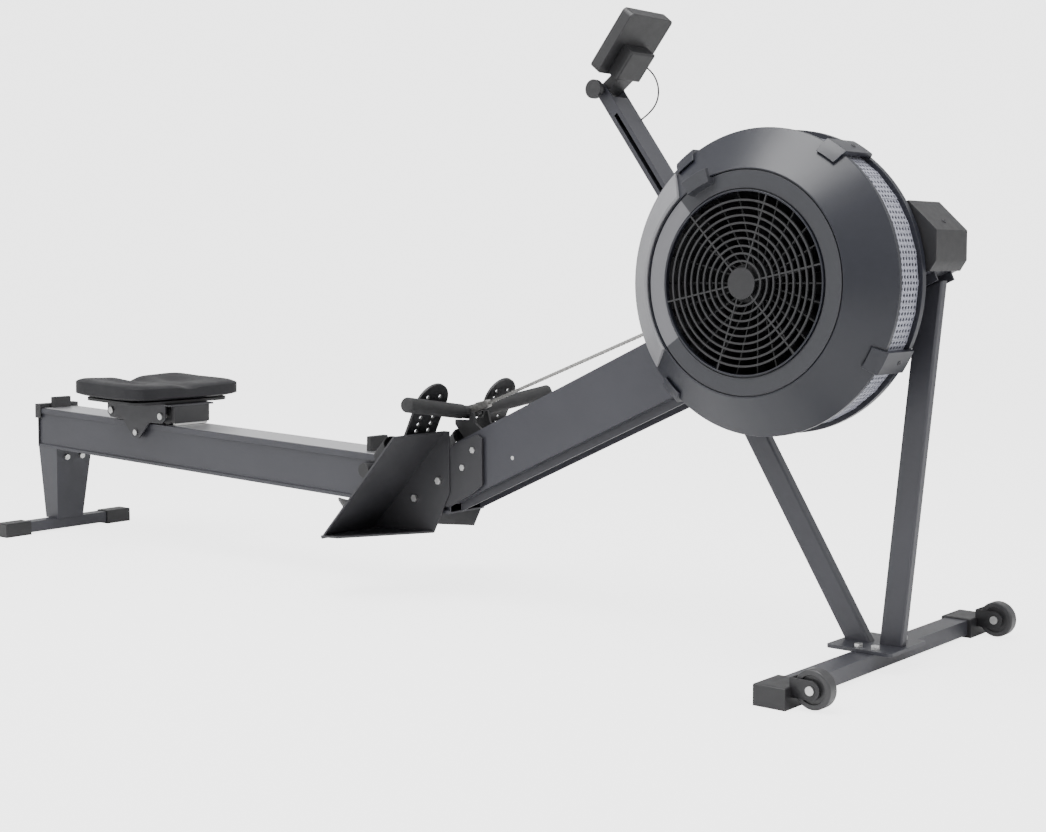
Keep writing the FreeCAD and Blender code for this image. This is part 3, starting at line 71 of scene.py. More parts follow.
# ---- Monitor lead. Thin round black rubber lead, pushed into the cradle's side, hanging in a loose loop
# and clipped into the arm below it.
lead_points = [(0.601, 0.0358, 1.012), (0.603, 0.058, 1.004), (0.611, 0.068, 0.978),
               (0.613, 0.062, 0.950), (0.607, 0.046, 0.928), (0.600, 0.0271, 0.9146)]
lead_curve = bpy.data.curves.new("monitor_lead", "CURVE")
lead_curve.dimensions = "3D"
lead_curve.bevel_depth = 0.0015
lead_curve.bevel_resolution = 4
lead_curve.resolution_u = 16
lead_line = lead_curve.splines.new("NURBS")
lead_line.points.add(len(lead_points) - 1)
for knot, place in zip(lead_line.points, lead_points):
    knot.co = (*place, 1)
lead_line.order_u = 3
lead_line.use_endpoint_u = True
lead = bpy.data.objects.new("monitor_lead", lead_curve)
bpy.context.scene.collection.objects.link(lead)
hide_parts("monitor_cable")
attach(lead, "monitor_arm")

# ---- Studio. A wide pale floor that curves up into the backdrop, a large soft light on the left, a
# weaker one on the right and an even white surround.
world = bpy.data.worlds.new("surround")
world.use_nodes = True
world.node_tree.nodes["Background"].inputs["Color"].default_value = (1, 1, 1, 1)
world.node_tree.nodes["Background"].inputs["Strength"].default_value = 0.92
bpy.context.scene.world = world
floor_mesh = bpy.data.meshes.new("floor")
curl = [k * math.pi / 32 for k in range(17)]
rows = [(-9, 0)] + [(6 + 4 * math.sin(a), 4 - 4 * math.cos(a)) for a in curl] + [(10, 12)]
floor_mesh.from_pydata([(x, y, z) for y, z in rows for x in (-14, 14)], [],
                       [(2 * k, 2 * k + 1, 2 * k + 3, 2 * k + 2) for k in range(len(rows) - 1)])
for face in floor_mesh.polygons:
    face.use_smooth = True
floor = bpy.data.objects.new("floor", floor_mesh)
bpy.context.scene.collection.objects.link(floor)
floor.rotation_euler = (0, 0, yaw)
paper = bpy.data.materials.new("paper")
paper.use_nodes = True
paper_look = paper.node_tree.nodes["Principled BSDF"]
paper_look.inputs["Base Color"].default_value = (0.93, 0.93, 0.93, 1)
paper_look.inputs["Roughness"].default_value = 0.85
paper_look.inputs["Specular IOR Level"].default_value = 0.1
glow = paper.node_tree.nodes.new("ShaderNodeEmission")
glow.inputs["Strength"].default_value = 5.0
seen = paper.node_tree.nodes.new("ShaderNodeLightPath")
share = paper.node_tree.nodes.new("ShaderNodeMath")
share.operation = "MULTIPLY"
share.inputs[1].default_value = 0.6
blend = paper.node_tree.nodes.new("ShaderNodeMixShader")
paper.node_tree.links.new(seen.outputs["Is Camera Ray"], share.inputs[0])
paper.node_tree.links.new(share.outputs[0], blend.inputs["Fac"])
paper.node_tree.links.new(paper_look.outputs["BSDF"], blend.inputs[1])
paper.node_tree.links.new(glow.outputs["Emission"], blend.inputs[2])
paper.node_tree.links.new(blend.outputs["Shader"], paper.node_tree.nodes["Material Output"].inputs["Surface"])
floor_mesh.materials.append(paper)
for name, place, width, power in (("left light", (-1.5, -3.2, 3.4), 2.6, 110),
                                  ("right light", (3.6, 0.2, 2.4), 1.8, 45),
                                  ("top light", (0.7, -1.0, 3.6), 2.2, 150)):
    lamp_data = bpy.data.lights.new(name, "AREA")
    lamp_data.size = width
    lamp_data.energy = power
    lamp = bpy.data.objects.new(name, lamp_data)
    lamp.location = place
    lamp.rotation_euler = (Vector((0.1, 0, 0.4)) - Vector(place)).to_track_quat("-Z", "Y").to_euler()
    bpy.context.scene.collection.objects.link(lamp)


# ---- Surfaces. Each material is mixed from noises in the piece's own coordinates; these classes let
# the mixing be written as sums.
class Flow:
    """One number in a material, at a node's output."""

    def __init__(self, tree, socket):
        self.tree = tree
        self.socket = socket

    def join(self, kind, other):
        node = self.tree.nodes.new("ShaderNodeMath")
        node.operation = kind
        self.tree.links.new(self.socket, node.inputs[0])
        if isinstance(other, Flow):
            self.tree.links.new(other.socket, node.inputs[1])
        else:
            node.inputs[1].default_value = other
        return Flow(self.tree, node.outputs[0])

    def __add__(self, other):
        return self.join("ADD", other)

    def __sub__(self, other):
        return self.join("SUBTRACT", other)

    def __mul__(self, other):
        return self.join("MULTIPLY", other)

    def step(self, low, high):
        """0 below low, 1 above high, smooth between."""
        node = self.tree.nodes.new("ShaderNodeMapRange")
        node.interpolation_type = "SMOOTHSTEP"
        node.inputs["From Min"].default_value = low
        node.inputs["From Max"].default_value = high
        self.tree.links.new(self.socket, node.inputs["Value"])
        return Flow(self.tree, node.outputs["Result"])


class Surface:
    """A material being mixed: noises in object coordinates, and the finish they feed."""

    def __init__(self, name, rough, metal=0.0, coat=0.0, gloss=0.5):
        self.made = bpy.data.materials.new(name)
        self.made.use_nodes = True
        self.tree = self.made.node_tree
        self.look = self.tree.nodes["Principled BSDF"]
        self.look.inputs["Roughness"].default_value = rough
        self.look.inputs["Metallic"].default_value = metal
        self.look.inputs["Coat Weight"].default_value = coat
        self.look.inputs["Specular IOR Level"].default_value = gloss
        self.place = self.tree.nodes.new("ShaderNodeTexCoord").outputs["Object"]

    def noise(self, scale, detail=3.0, stretch=(1, 1, 1)):
        spread = self.tree.nodes.new("ShaderNodeMapping")
        spread.inputs["Scale"].default_value = stretch
        self.tree.links.new(self.place, spread.inputs["Vector"])
        node = self.tree.nodes.new("ShaderNodeTexNoise")
        node.inputs["Scale"].default_value = scale
        node.inputs["Detail"].default_value = detail
        self.tree.links.new(spread.outputs[0], node.inputs["Vector"])
        return Flow(self.tree, node.outputs["Fac"])

    def cells(self, scale):
        node = self.tree.nodes.new("ShaderNodeTexVoronoi")
        node.inputs["Scale"].default_value = scale
        self.tree.links.new(self.place, node.inputs["Vector"])
        return Flow(self.tree, node.outputs["Distance"])

    def waves(self, scale, axis, twist=0.0):
        node = self.tree.nodes.new("ShaderNodeTexWave")
        node.bands_direction = axis
        node.inputs["Scale"].default_value = scale
        node.inputs["Distortion"].default_value = twist
        self.tree.links.new(self.place, node.inputs["Vector"])
        return Flow(self.tree, node.outputs["Fac"])

    def colour(self, dark, light, share):
        node = self.tree.nodes.new("ShaderNodeMix")
        node.data_type = "RGBA"
        node.inputs["A"].default_value = (*dark, 1)
        node.inputs["B"].default_value = (*light, 1)
        self.tree.links.new(share.socket, node.inputs["Factor"])
        self.tree.links.new(node.outputs["Result"], self.look.inputs["Base Color"])

    def rough(self, value):
        self.tree.links.new(value.socket, self.look.inputs["Roughness"])

    def bump(self, height, depth, strength=1.0):
        node = self.tree.nodes.new("ShaderNodeBump")
        node.inputs["Distance"].default_value = depth
        node.inputs["Strength"].default_value = strength
        self.tree.links.new(height.socket, node.inputs["Height"])
        self.tree.links.new(node.outputs["Normal"], self.look.inputs["Normal"])


def paint(material, names):
    for name in names.split():
        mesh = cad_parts[name].data
        mesh.materials.clear()
        mesh.materials.append(material)


# Charcoal powder coat on the steel and aluminium frame: a fine orange-peel skin with a slight
# blue-violet cast, a little duller where it is handled.
s = Surface("charcoal_coat", 0.42, coat=0.06, gloss=0.45)
patch = s.noise(6, 4)
s.colour((0.024, 0.0245, 0.031), (0.038, 0.0385, 0.047), patch)
s.rough(patch * 0.12 + s.noise(140) * 0.06 + 0.33)
s.bump(s.noise(900, 2) + s.noise(260, 2) * 0.5, 0.00012, 0.35)
charcoal_coat = s.made
paint(charcoal_coat, "rail rear_leg front_foot_tube beam front_leg_forward front_leg_rearward monitor_arm")

# Dark textured paint on the sheet-steel foot boards, joint plates and seat carriage.
s = Surface("dark_coat", 0.5)
s.colour((0.018, 0.018, 0.021), (0.03, 0.03, 0.034), s.noise(9, 4))
s.rough(s.noise(30, 3) * 0.14 + 0.42)
s.bump(s.noise(1100, 2), 0.00015, 0.4)
dark_coat = s.made
paint(dark_coat, "joint_plates seat_carriage footboard_left footboard_right")

# Stainless track on top of the rail, brushed along its length.
s = Surface("track_steel", 0.32, metal=1.0)
grain = s.noise(60, 4, (0.6, 28, 28))
s.colour((0.56, 0.56, 0.58), (0.74, 0.74, 0.75), grain)
s.rough(grain * 0.16 + s.noise(5, 3) * 0.08 + 0.26)
s.bump(grain, 0.00004, 0.3)
track_steel = s.made
paint(track_steel, "rail_track")

# Zinc-plated bolts, pins and axles with soft cloudy plating.
s = Surface("zinc", 0.35, metal=1.0)
cloud = s.noise(160, 3)
s.colour((0.48, 0.48, 0.47), (0.72, 0.72, 0.72), cloud)
s.rough(cloud * 0.2 + 0.25)
zinc = s.made
paint(zinc, "frame_bolts fan_axle beam_pins seat_axles")

# Nickel-plated chain steel, darkened by oil in the hollows.
s = Surface("chain_steel", 0.36, metal=1.0)
oil = s.noise(240, 3)
s.colour((0.2, 0.2, 0.2), (0.55, 0.54, 0.52), oil)
s.rough(oil * 0.2 + 0.26)
chain_steel = s.made
paint(chain_steel, "chain_top chain_inner chain_connector sprocket")

# Black moulded plastic with a fine spark-eroded grain, on caps, cradles, hook, grille and knobs.
s = Surface("black_moulding", 0.5)
s.colour((0.009, 0.009, 0.01), (0.017, 0.017, 0.019), s.noise(14, 4))
s.rough(s.noise(70, 3) * 0.16 + 0.4)
s.bump(s.cells(1600), 0.0001, 0.3)
black_moulding = s.made
paint(black_moulding, "rail_end_cap rear_foot_caps front_foot_caps beam_end_cover handle_hook handle_core "
      "flexfoot_left flexfoot_right rail_lock_pin tilt_knob seat_base monitor_case monitor_cradle grille "
      "return_pulley")

# Satin dark blue-grey moulding of the fan housing, smooth enough to carry a broad highlight.
s = Surface("housing_moulding", 0.34, gloss=0.45)
s.colour((0.009, 0.010, 0.015), (0.016, 0.017, 0.024), s.noise(5, 3))
s.rough(s.noise(9, 4) * 0.1 + s.noise(180) * 0.05 + 0.29)
s.bump(s.noise(1300, 2), 0.00006, 0.25)
housing_moulding = s.made
paint(housing_moulding, "housing_cover housing_back")

# Light grey moulding of the perforated band around the fan.
s = Surface("band_moulding", 0.45)
s.colour((0.26, 0.265, 0.32), (0.33, 0.335, 0.39), s.noise(12, 3))
s.rough(s.noise(80, 3) * 0.1 + 0.42)
band_moulding = s.made
paint(band_moulding, "housing_band")

# Mid-grey raised scale beside the damper lever.
s = Surface("scale_moulding", 0.5)
s.colour((0.15, 0.15, 0.16), (0.2, 0.2, 0.21), s.noise(25, 3))
s.rough(s.noise(90, 3) * 0.1 + 0.45)
scale_moulding = s.made
paint(scale_moulding, "damper_scale")

# Rubber: matt black, a little dusty, with fine rings along the handle grips.
s = Surface("rubber", 0.7, gloss=0.35)
s.colour((0.014, 0.014, 0.015), (0.03, 0.03, 0.031), s.noise(40, 4))
s.rough(s.noise(60, 3) * 0.15 + 0.6)
s.bump(s.waves(120, "Y") + s.noise(900) * 0.3, 0.0003, 0.5)
rubber = s.made
paint(rubber, "handle_grips seat_stops")

# Hard smooth plastic of the rollers and transport wheels.
s = Surface("roller_moulding", 0.35)
s.colour((0.02, 0.02, 0.022), (0.035, 0.035, 0.037), s.noise(30, 3))
s.rough(s.noise(110, 3) * 0.2 + 0.28)
roller_moulding = s.made
paint(roller_moulding, "seat_roller_rear seat_roller_front guide_rollers wheel_left wheel_right")

# Blackened fan wheel, dull and slightly dusty behind the grille.
s = Surface("fan_casting", 0.5)
dust = s.noise(20, 4)
s.colour((0.008, 0.008, 0.009), (0.02, 0.02, 0.022), dust)
s.rough(dust * 0.25 + 0.38)
fan_casting = s.made
paint(fan_casting, "flywheel")

# Woven nylon webbing of the foot straps, crossed by its fine weft.
s = Surface("webbing", 0.75, gloss=0.25)
weave = s.waves(420, "DIAGONAL", 0.6)
s.colour((0.012, 0.012, 0.013), (0.034, 0.034, 0.036), weave)
s.rough(s.noise(200, 2) * 0.1 + 0.7)
s.bump(weave, 0.0003, 0.6)
webbing = s.made
paint(webbing, "strap_left strap_right bungee")

# Pale felt strip that wipes the track in front of the seat.
s = Surface("felt", 0.95, gloss=0.1)
s.colour((0.42, 0.42, 0.42), (0.62, 0.62, 0.6), s.noise(420, 4))
s.bump(s.noise(1500, 3), 0.0005, 0.7)
felt = s.made
paint(felt, "track_wiper")

# Dull green-grey display window and its soft grey buttons.
s = Surface("display", 0.18, coat=0.4)
s.colour((0.16, 0.19, 0.15), (0.2, 0.23, 0.18), s.noise(18, 2))
s.rough(s.noise(40, 2) * 0.06 + 0.15)
display = s.made
paint(display, "monitor_screen")
s = Surface("button_rubber", 0.65)
s.colour((0.15, 0.15, 0.16), (0.22, 0.22, 0.23), s.noise(120, 3))
s.rough(s.noise(150, 2) * 0.1 + 0.6)
button_rubber = s.made
paint(button_rubber, "button_1 button_2 button_3 button_4 button_5")
s = Surface("lead_rubber", 0.5)
s.colour((0.01, 0.01, 0.011), (0.02, 0.02, 0.021), s.noise(300, 2))
s.rough(s.noise(200, 2) * 0.1 + 0.45)
lead_curve.materials.append(s.made)

# Soft satin seat moulding.
s = Surface("seat_moulding", 0.5, gloss=0.3)
s.colour((0.007, 0.007, 0.009), (0.013, 0.013, 0.015), s.noise(16, 4))
s.rough(s.noise(50, 3) * 0.14 + 0.44)
s.bump(s.noise(1200, 2), 0.0001, 0.3)
seat_moulding = s.made
paint(seat_moulding, "seat_pad")

# The damper ring is the same moulding, with a paler sector where it sits beside the scale, set out
# round the fan's centre.
fan = Vector((0.96065, 0, 0.62447))
s = Surface("damper_moulding", 0.4)
split = s.tree.nodes.new("ShaderNodeSeparateXYZ")
s.tree.links.new(s.place, split.inputs[0])
east = Flow(s.tree, split.outputs["X"]) - fan.x
north = Flow(s.tree, split.outputs["Z"]) - fan.z
turn = (north * -1).join("ARCTAN2", east * -1)
pale = (turn + math.radians(49)).step(0, 0.01) * (turn * -1 + math.radians(36)).step(0, 0.01)
s.colour((0.024, 0.025, 0.03), (0.13, 0.13, 0.14), pale)
s.rough(s.noise(60, 3) * 0.12 + 0.36)
paint(s.made, "damper")

# ---- Perforated band. Light grey moulded strip round the fan, punched with close rows of round holes
# that let the air out; it is held between the two shells.
band_low, band_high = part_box("housing_band")
band_radius = (band_high.x - band_low.x) / 2
band_width = band_high.y - band_low.y
hole_rows = 7
hole_columns = 160
cell_high = band_width / hole_rows
cell_wide = 2 * math.tan(math.pi / hole_columns) * (band_radius + 0.0001)
cell_mesh = bpy.data.meshes.new("band_cell")
cell = bmesh.new()
corners = 16
hole_radius = 0.0032
band_thick = 0.0018
hole_edge = []
cell_edge = []
for k in range(corners):
    east = math.cos(2 * math.pi * k / corners)
    north = math.sin(2 * math.pi * k / corners)
    reach = 1 / max(abs(east), abs(north))
    hole_edge.append((east * hole_radius, north * hole_radius))
    cell_edge.append((east * reach * cell_wide / 2, north * reach * cell_high / 2))
rings = []
for depth in (0, -band_thick):
    for edge_line in (cell_edge, hole_edge):
        rings.append([cell.verts.new((x, y, depth)) for x, y in edge_line])
outer_top, inner_top, outer_low, inner_low = rings
for k in range(corners):
    n = (k + 1) % corners
    cell.faces.new((outer_top[k], outer_top[n], inner_top[n], inner_top[k]))
    cell.faces.new((inner_low[k], inner_low[n], outer_low[n], outer_low[k]))
    cell.faces.new((inner_top[k], inner_top[n], inner_low[n], inner_low[k]))
cell.to_mesh(cell_mesh)
cell.free()
band_cell = bpy.data.objects.new("band_cell", cell_mesh)


def node_group(name, inputs):
    """An empty geometry group with a geometry output and the named inputs."""
    tree = bpy.data.node_groups.new(name, "GeometryNodeTree")
    tree.interface.new_socket("Geometry", in_out="OUTPUT", socket_type="NodeSocketGeometry")
    for label, kind, value in inputs:
        socket = tree.interface.new_socket(label, in_out="INPUT", socket_type=kind)
        if value is not None:
            socket.default_value = value
    return tree, tree.nodes.new("NodeGroupInput"), tree.nodes.new("NodeGroupOutput")


def settle(piece, tree):
    """Runs the group on the piece and keeps the result as its plain mesh."""
    step = piece.modifiers.new("make", "NODES")
    step.node_group = tree
    bpy.context.view_layer.update()
    made = bpy.data.meshes.new_from_object(piece.evaluated_get(bpy.context.evaluated_depsgraph_get()))
    final = bpy.data.objects.new(piece.name + "_piece", made)
    bpy.data.objects.remove(piece)
    bpy.context.scene.collection.objects.link(final)
    return final


tree, given, out = node_group("band", [
    ("Radius", "NodeSocketFloat", band_radius), ("Columns", "NodeSocketInt", hole_columns),
    ("Rows", "NodeSocketInt", hole_rows), ("Row step", "NodeSocketFloat", cell_high),
    ("Material", "NodeSocketMaterial", band_moulding)])
circle = tree.nodes.new("GeometryNodeCurvePrimitiveCircle")
tree.links.new(given.outputs["Radius"], circle.inputs["Radius"])
spots = tree.nodes.new("GeometryNodeCurveToPoints")
tree.links.new(circle.outputs["Curve"], spots.inputs["Curve"])
tree.links.new(given.outputs["Columns"], spots.inputs["Count"])
column = tree.nodes.new("GeometryNodeMeshLine")
tree.links.new(given.outputs["Rows"], column.inputs["Count"])
offset = tree.nodes.new("ShaderNodeCombineXYZ")
tree.links.new(given.outputs["Row step"], offset.inputs["Z"])
tree.links.new(offset.outputs[0], column.inputs["Offset"])
unit = tree.nodes.new("GeometryNodeObjectInfo")
unit.inputs["Object"].default_value = band_cell
stack = tree.nodes.new("GeometryNodeInstanceOnPoints")
stack.inputs["Rotation"].default_value = (math.radians(90), 0, math.radians(90))
tree.links.new(column.outputs["Mesh"], stack.inputs["Points"])
tree.links.new(unit.outputs["Geometry"], stack.inputs["Instance"])
facing = tree.nodes.new("FunctionNodeAlignRotationToVector")
facing.axis = "X"
facing.pivot_axis = "Z"
where = tree.nodes.new("GeometryNodeInputPosition")
tree.links.new(where.outputs[0], facing.inputs["Vector"])
around = tree.nodes.new("GeometryNodeInstanceOnPoints")
tree.links.new(spots.outputs["Points"], around.inputs["Points"])
tree.links.new(stack.outputs["Instances"], around.inputs["Instance"])
tree.links.new(facing.outputs["Rotation"], around.inputs["Rotation"])
real = tree.nodes.new("GeometryNodeRealizeInstances")
tree.links.new(around.outputs["Instances"], real.inputs["Geometry"])
merge = tree.nodes.new("GeometryNodeMergeByDistance")
merge.inputs["Distance"].default_value = 0.0003
tree.links.new(real.outputs["Geometry"], merge.inputs["Geometry"])
skin = tree.nodes.new("GeometryNodeSetMaterial")
tree.links.new(merge.outputs["Geometry"], skin.inputs["Geometry"])
tree.links.new(given.outputs["Material"], skin.inputs["Material"])
tree.links.new(skin.outputs["Geometry"], out.inputs["Geometry"])
seed_mesh = bpy.data.meshes.new("band_start")
band = bpy.data.objects.new("perforated_band", seed_mesh)
bpy.context.scene.collection.objects.link(band)
band = settle(band, tree)
upright = Matrix.Rotation(math.radians(90), 4, "X")
band.data.transform(Matrix.Translation((fan.x, band_high.y - cell_high / 2, fan.z)) @ upright)
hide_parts("housing_band")
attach(band, "frame")

# ---- Drive chain. Nickel-plated roller chain from the handle's connector over the sprocket, made of
# alternating inner and outer link plates on rollers.
pitch = 0.00635
link_mesh = bpy.data.meshes.new("chain_links")
link = bmesh.new()


def link_plate(first, y, thick):
    """One waisted side plate from the pin at first to the next pin."""
    edge_points = []
    for k in range(9):
        a = math.pi / 2 + k * math.pi / 8
        edge_points.append((first + math.cos(a) * 0.0029, math.sin(a) * 0.0029))
    edge_points.append((first + pitch / 2, -0.0022))
    for k in range(9):
        a = -math.pi / 2 + k * math.pi / 8
        edge_points.append((first + pitch + math.cos(a) * 0.0029, math.sin(a) * 0.0029))
    edge_points.append((first + pitch / 2, 0.0022))
    near = [link.verts.new((x, y, z)) for x, z in edge_points]
    far = [link.verts.new((x, y + thick, z)) for x, z in edge_points]
    link.faces.new(near)
    link.faces.new(far[::-1])
    for k in range(len(near)):
        n = (k + 1) % len(near)
        link.faces.new((near[n], near[k], far[k], far[n]))


def link_barrel(x, radius, half):
    """A roller or pin across the chain at x."""
    angles = [k * math.pi / 5 for k in range(10)]
    circle_points = [(x + math.cos(a) * radius, math.sin(a) * radius) for a in angles]
    near = [link.verts.new((px, -half, pz)) for px, pz in circle_points]
    far = [link.verts.new((px, half, pz)) for px, pz in circle_points]
    link.faces.new(near)
    link.faces.new(far[::-1])
    for k in range(10):
        n = (k + 1) % 10
        link.faces.new((near[n], near[k], far[k], far[n]))


for y in (0.0017, -0.0025):
    link_plate(0, y, 0.0008)
for y in (0.0026, -0.0034):
    link_plate(pitch, y, 0.0008)
for k in (0, 1):
    link_barrel(k * pitch, 0.0017, 0.0017)
    link_barrel(k * pitch, 0.0009, 0.0038)
bmesh.ops.recalc_face_normals(link, faces=link.faces)
link.to_mesh(link_mesh)
link.free()
link_pair = bpy.data.objects.new("chain_links", link_mesh)
handle_spot = Vector((0.199, 0, 0.368))
chain_radius = 0.0317
reach = (fan - handle_spot).length
lean = math.atan2(fan.z - handle_spot.z, fan.x - handle_spot.x) + math.asin(chain_radius / reach)
along = Vector((math.cos(lean), 0, math.sin(lean)))
run = math.sqrt(reach ** 2 - chain_radius ** 2)
chain_start = 0.062
wrap = math.radians(150)
chain_path = [handle_spot + along * chain_start, handle_spot + along * run]
for k in range(1, 25):
    a = math.pi / 2 + lean - wrap * k / 24
    chain_path.append(fan + Vector((math.cos(a), 0, math.sin(a))) * chain_radius)
path_curve = bpy.data.curves.new("chain_path", "CURVE")
path_curve.dimensions = "3D"
path_line = path_curve.splines.new("POLY")
path_line.points.add(len(chain_path) - 1)
for knot, place in zip(path_line.points, chain_path):
    knot.co = (*place, 1)
chain = bpy.data.objects.new("drive_chain", path_curve)
bpy.context.scene.collection.objects.link(chain)
chain_length = run - chain_start + wrap * chain_radius
tree, given, out = node_group("chain", [
    ("Path", "NodeSocketGeometry", None), ("Pairs", "NodeSocketInt", round(chain_length / (2 * pitch))),
    ("Material", "NodeSocketMaterial", chain_steel)])
spots = tree.nodes.new("GeometryNodeCurveToPoints")
tree.links.new(given.outputs["Path"], spots.inputs["Curve"])
tree.links.new(given.outputs["Pairs"], spots.inputs["Count"])
unit = tree.nodes.new("GeometryNodeObjectInfo")
unit.inputs["Object"].default_value = link_pair
facing = tree.nodes.new("FunctionNodeAlignRotationToVector")
facing.axis = "X"
facing.pivot_axis = "Y"
tree.links.new(spots.outputs["Tangent"], facing.inputs["Vector"])
laid = tree.nodes.new("GeometryNodeInstanceOnPoints")
tree.links.new(spots.outputs["Points"], laid.inputs["Points"])
tree.links.new(unit.outputs["Geometry"], laid.inputs["Instance"])
tree.links.new(facing.outputs["Rotation"], laid.inputs["Rotation"])
real = tree.nodes.new("GeometryNodeRealizeInstances")
tree.links.new(laid.outputs["Instances"], real.inputs["Geometry"])
skin = tree.nodes.new("GeometryNodeSetMaterial")
tree.links.new(real.outputs["Geometry"], skin.inputs["Geometry"])
tree.links.new(given.outputs["Material"], skin.inputs["Material"])
tree.links.new(skin.outputs["Geometry"], out.inputs["Geometry"])
chain = settle(chain, tree)
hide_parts("chain_top")
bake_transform(chain)

# ---- Seat pad. One-piece satin moulding, dished for the sitter with a channel down the middle and two
# raised lobes at the back; it is screwed to the base under it.
pad_low, pad_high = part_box("seat_pad")
tilt = math.radians(1.7)
pad_mid = (pad_low + pad_high) / 2
pad_form = bmesh.new()
bmesh.ops.create_cube(pad_form, size=2)
bmesh.ops.subdivide_edges(pad_form, edges=pad_form.edges[:], cuts=40, use_grid_fill=True)
half = Vector((0.1275, 0.1595, 0.0200))
for vert in pad_form.verts:
    p = vert.co.copy()
    flat = (abs(p.x) ** 7 + abs(p.y) ** 7) ** (1 / 7)
    shrink = max(abs(p.x), abs(p.y)) / flat if flat > 0 else 1
    x = p.x * shrink
    y = p.y * shrink
    rim = max(abs(p.x), abs(p.y))
    belly = math.sqrt(max(0, 1 - max(0, (rim - 0.86) / 0.14) ** 2))
    z = math.copysign(0.7 + 0.3 * belly, p.z) if abs(p.z) == 1 else p.z * 0.7
    inset = 1 - 0.02 * belly if abs(p.z) == 1 else 1
    height = z * half.z
    if z > 0:
        dish = -0.010 * math.exp(-((x + 0.1) / 0.6) ** 2) * (math.exp(-((abs(y) - 0.42) / 0.25) ** 2))
        channel = -0.014 * math.exp(-(y / 0.16) ** 2) * (0.5 + 0.5 * max(0, -x))
        lobes = 0.006 * max(0, -x - 0.25) ** 1.3 * (1 - math.exp(-(y / 0.22) ** 2))
        wings = 0.004 * abs(y) ** 3
        nose = -0.008 * max(0, x - 0.5) ** 1.5
        height += (dish + channel + lobes + wings + nose) * z
    else:
        height += 0.004 * (x * x + y * y) * -z
    vert.co = (x * half.x * inset, y * half.y * inset, height)
for _ in range(3):
    bmesh.ops.smooth_vert(pad_form, verts=pad_form.verts, factor=0.35,
                          use_axis_x=True, use_axis_y=True, use_axis_z=True)
bmesh.ops.recalc_face_normals(pad_form, faces=pad_form.faces)
pad_mesh = bpy.data.meshes.new("seat_moulding")
pad_form.to_mesh(pad_mesh)
pad_form.free()
pad_mesh.transform(Matrix.Translation((pad_mid.x, 0, pad_mid.z - 0.0005)) @ Matrix.Rotation(tilt, 4, "Y"))
for face in pad_mesh.polygons:
    face.use_smooth = True
pad_mesh.materials.append(seat_moulding)
pad = bpy.data.objects.new("seat_moulding", pad_mesh)
bpy.context.scene.collection.objects.link(pad)
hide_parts("seat_pad")
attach(pad, "seat")


# ---- Damper numbers. Raised black numerals one to ten round the pale scale, moulded with it.
def letter(text, size, thick, place, right, up, material, name):
    """Raised text whose middle is at place, reading along right."""
    curve = bpy.data.curves.new(name, "FONT")
    curve.body = text
    curve.size = size
    curve.extrude = thick
    curve.align_x = "CENTER"
    curve.align_y = "CENTER"
    holder = bpy.data.objects.new(name, curve)
    bpy.context.scene.collection.objects.link(holder)
    bpy.context.view_layer.update()
    made = bpy.data.meshes.new_from_object(holder.evaluated_get(bpy.context.evaluated_depsgraph_get()))
    bpy.data.objects.remove(holder)
    out_way = right.cross(up)
    made.transform(Matrix(((right.x, up.x, out_way.x, place.x), (right.y, up.y, out_way.y, place.y),
                           (right.z, up.z, out_way.z, place.z), (0, 0, 0, 1))))
    made.materials.clear()
    made.materials.append(material)
    return made


def piece_of(meshes, name):
    """One object made of several meshes."""
    whole = bmesh.new()
    for mesh in meshes:
        whole.from_mesh(mesh)
    joined = bpy.data.meshes.new(name)
    whole.to_mesh(joined)
    whole.free()
    joined.materials.append(meshes[0].materials[0])
    piece = bpy.data.objects.new(name, joined)
    bpy.context.scene.collection.objects.link(piece)
    return piece


numerals = []
cone_slope = math.atan2(0.625, 0.781)
scale_radius = 0.214
scale_face = -0.1745
for k in range(10):
    a = math.radians(137 + 8.2 * k)
    radial = Vector((math.cos(a), 0, math.sin(a)))
    up = radial * math.cos(cone_slope) + Vector((0, math.sin(cone_slope), 0))
    normal = radial * math.sin(cone_slope) + Vector((0, -math.cos(cone_slope), 0))
    place = fan + radial * scale_radius + Vector((0, scale_face, 0)) + normal * 0.0001
    numerals.append(letter(str(k + 1), 0.016, 0.0004, place, up.cross(normal), up, black_moulding, "numeral"))
scale_numbers = piece_of(numerals, "scale_numbers")
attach(scale_numbers, "frame")

# ---- Display figures. Dark segments of the elapsed time, distance and stroke rate under the window, and
# a pale printed mark on each button.
screen_tilt = math.radians(50.7)
screen_corner = Vector((0.553, 0, 1.008))
screen_up = Vector((math.cos(screen_tilt), 0, math.sin(screen_tilt)))
screen_right = Vector((0, -1, 0))
screen_out = screen_right.cross(screen_up)
s = Surface("display_ink", 0.3)
s.colour((0.012, 0.013, 0.012), (0.02, 0.021, 0.02), s.noise(60, 2))
display_ink = s.made
figures = []
for text, size, height, shift in (("2:05", 0.026, 0.091, 0.0), ("500", 0.019, 0.065, -0.018),
                                  ("24", 0.019, 0.065, 0.026), ("1 2 3 4 5 6 7 8", 0.007, 0.042, 0.0)):
    place = screen_corner + screen_up * height + screen_right * shift - screen_out * 0.00025
    figures.append(letter(text, size, 0.0001, place, screen_right, screen_up, display_ink, "figure"))
display_figures = piece_of(figures, "display_figures")
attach(display_figures, "monitor")
s = Surface("button_mark", 0.5)
s.colour((0.55, 0.55, 0.55), (0.66, 0.66, 0.66), s.noise(80, 2))
button_mark = s.made
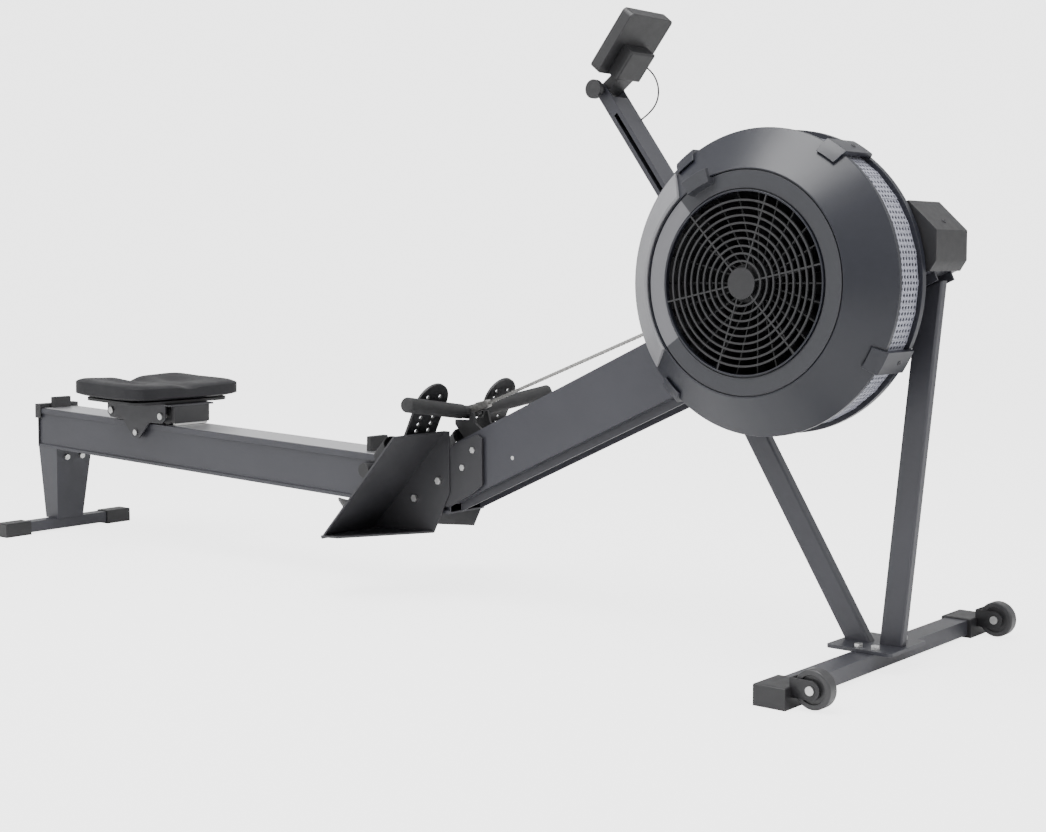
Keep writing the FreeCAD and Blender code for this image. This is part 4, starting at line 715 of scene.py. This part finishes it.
for k, mark in enumerate("<-0+>"):
    place = screen_corner + screen_up * 0.014 - screen_right * (k - 2) * 0.022 + screen_out * 0.00165
    strokes = letter(mark, 0.008, 0.0001, place, screen_right, screen_up, button_mark, "mark")
    printed = piece_of([strokes], "button_mark_%d" % (k + 1))
    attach(printed, "button_%d" % (k + 1))

# ---- Cover screws. Small blackened pan-head screws, one through the outside of each housing clip and
# one through the sloping face of the cover on the beam's upper end.
screw_mesh = bpy.data.meshes.new("screw")
screw = bmesh.new()
rings = []
for radius, height in ((0.0042, 0), (0.0042, 0.0008), (0.0034, 0.0016), (0.0018, 0.0019), (0.0016, 0.0009)):
    rings.append([screw.verts.new((math.cos(a) * radius, math.sin(a) * radius, height))
                  for a in [k * math.pi / 8 for k in range(16)]])
for low, high in zip(rings, rings[1:]):
    for k in range(16):
        n = (k + 1) % 16
        screw.faces.new((low[k], low[n], high[n], high[k]))
screw.faces.new(rings[-1])
screw.faces.new(rings[0][::-1])
screw.to_mesh(screw_mesh)
screw.free()
screws = []
seats = [(Vector((1.2054, 0, 0.7199)), Vector((0.688, 0, 0.725)))]
clip_top = 0.2527
clip_middle = Vector((0, -0.095, 0))
for a in (57, -29, 125, 227):
    radial = Vector((math.cos(math.radians(a)), 0, math.sin(math.radians(a))))
    seats.append((fan + radial * clip_top + clip_middle, radial))
for seat, way in seats:
    turned = screw_mesh.copy()
    turned.transform(Matrix.Translation(seat) @ way.to_track_quat("Z", "Y").to_matrix().to_4x4())
    turned.materials.append(dark_coat)
    screws.append(turned)
cover_screws = piece_of(screws, "cover_screws")
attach(cover_screws, "frame")

# ---- Edges. Every made part has its sharp edges broken by about a millimetre so they catch the light.
for name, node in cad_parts.items():
    if node.hide_render or name in ("monitor_screen", "flywheel", "chain_inner"):
        continue
    weld = node.modifiers.new("weld", "WELD")
    weld.merge_threshold = 0.00002
    plain = node.modifiers.new("plain", "DECIMATE")
    plain.decimate_type = "DISSOLVE"
    plain.angle_limit = math.radians(0.3)
    edge = node.modifiers.new("edge", "BEVEL")
    edge.width = 0.0007
    edge.segments = 2
    edge.limit_method = "ANGLE"
    edge.angle_limit = math.radians(38)
    even = node.modifiers.new("even", "WEIGHTED_NORMAL")
    even.weight = 60
    for face in node.data.polygons:
        face.use_smooth = True
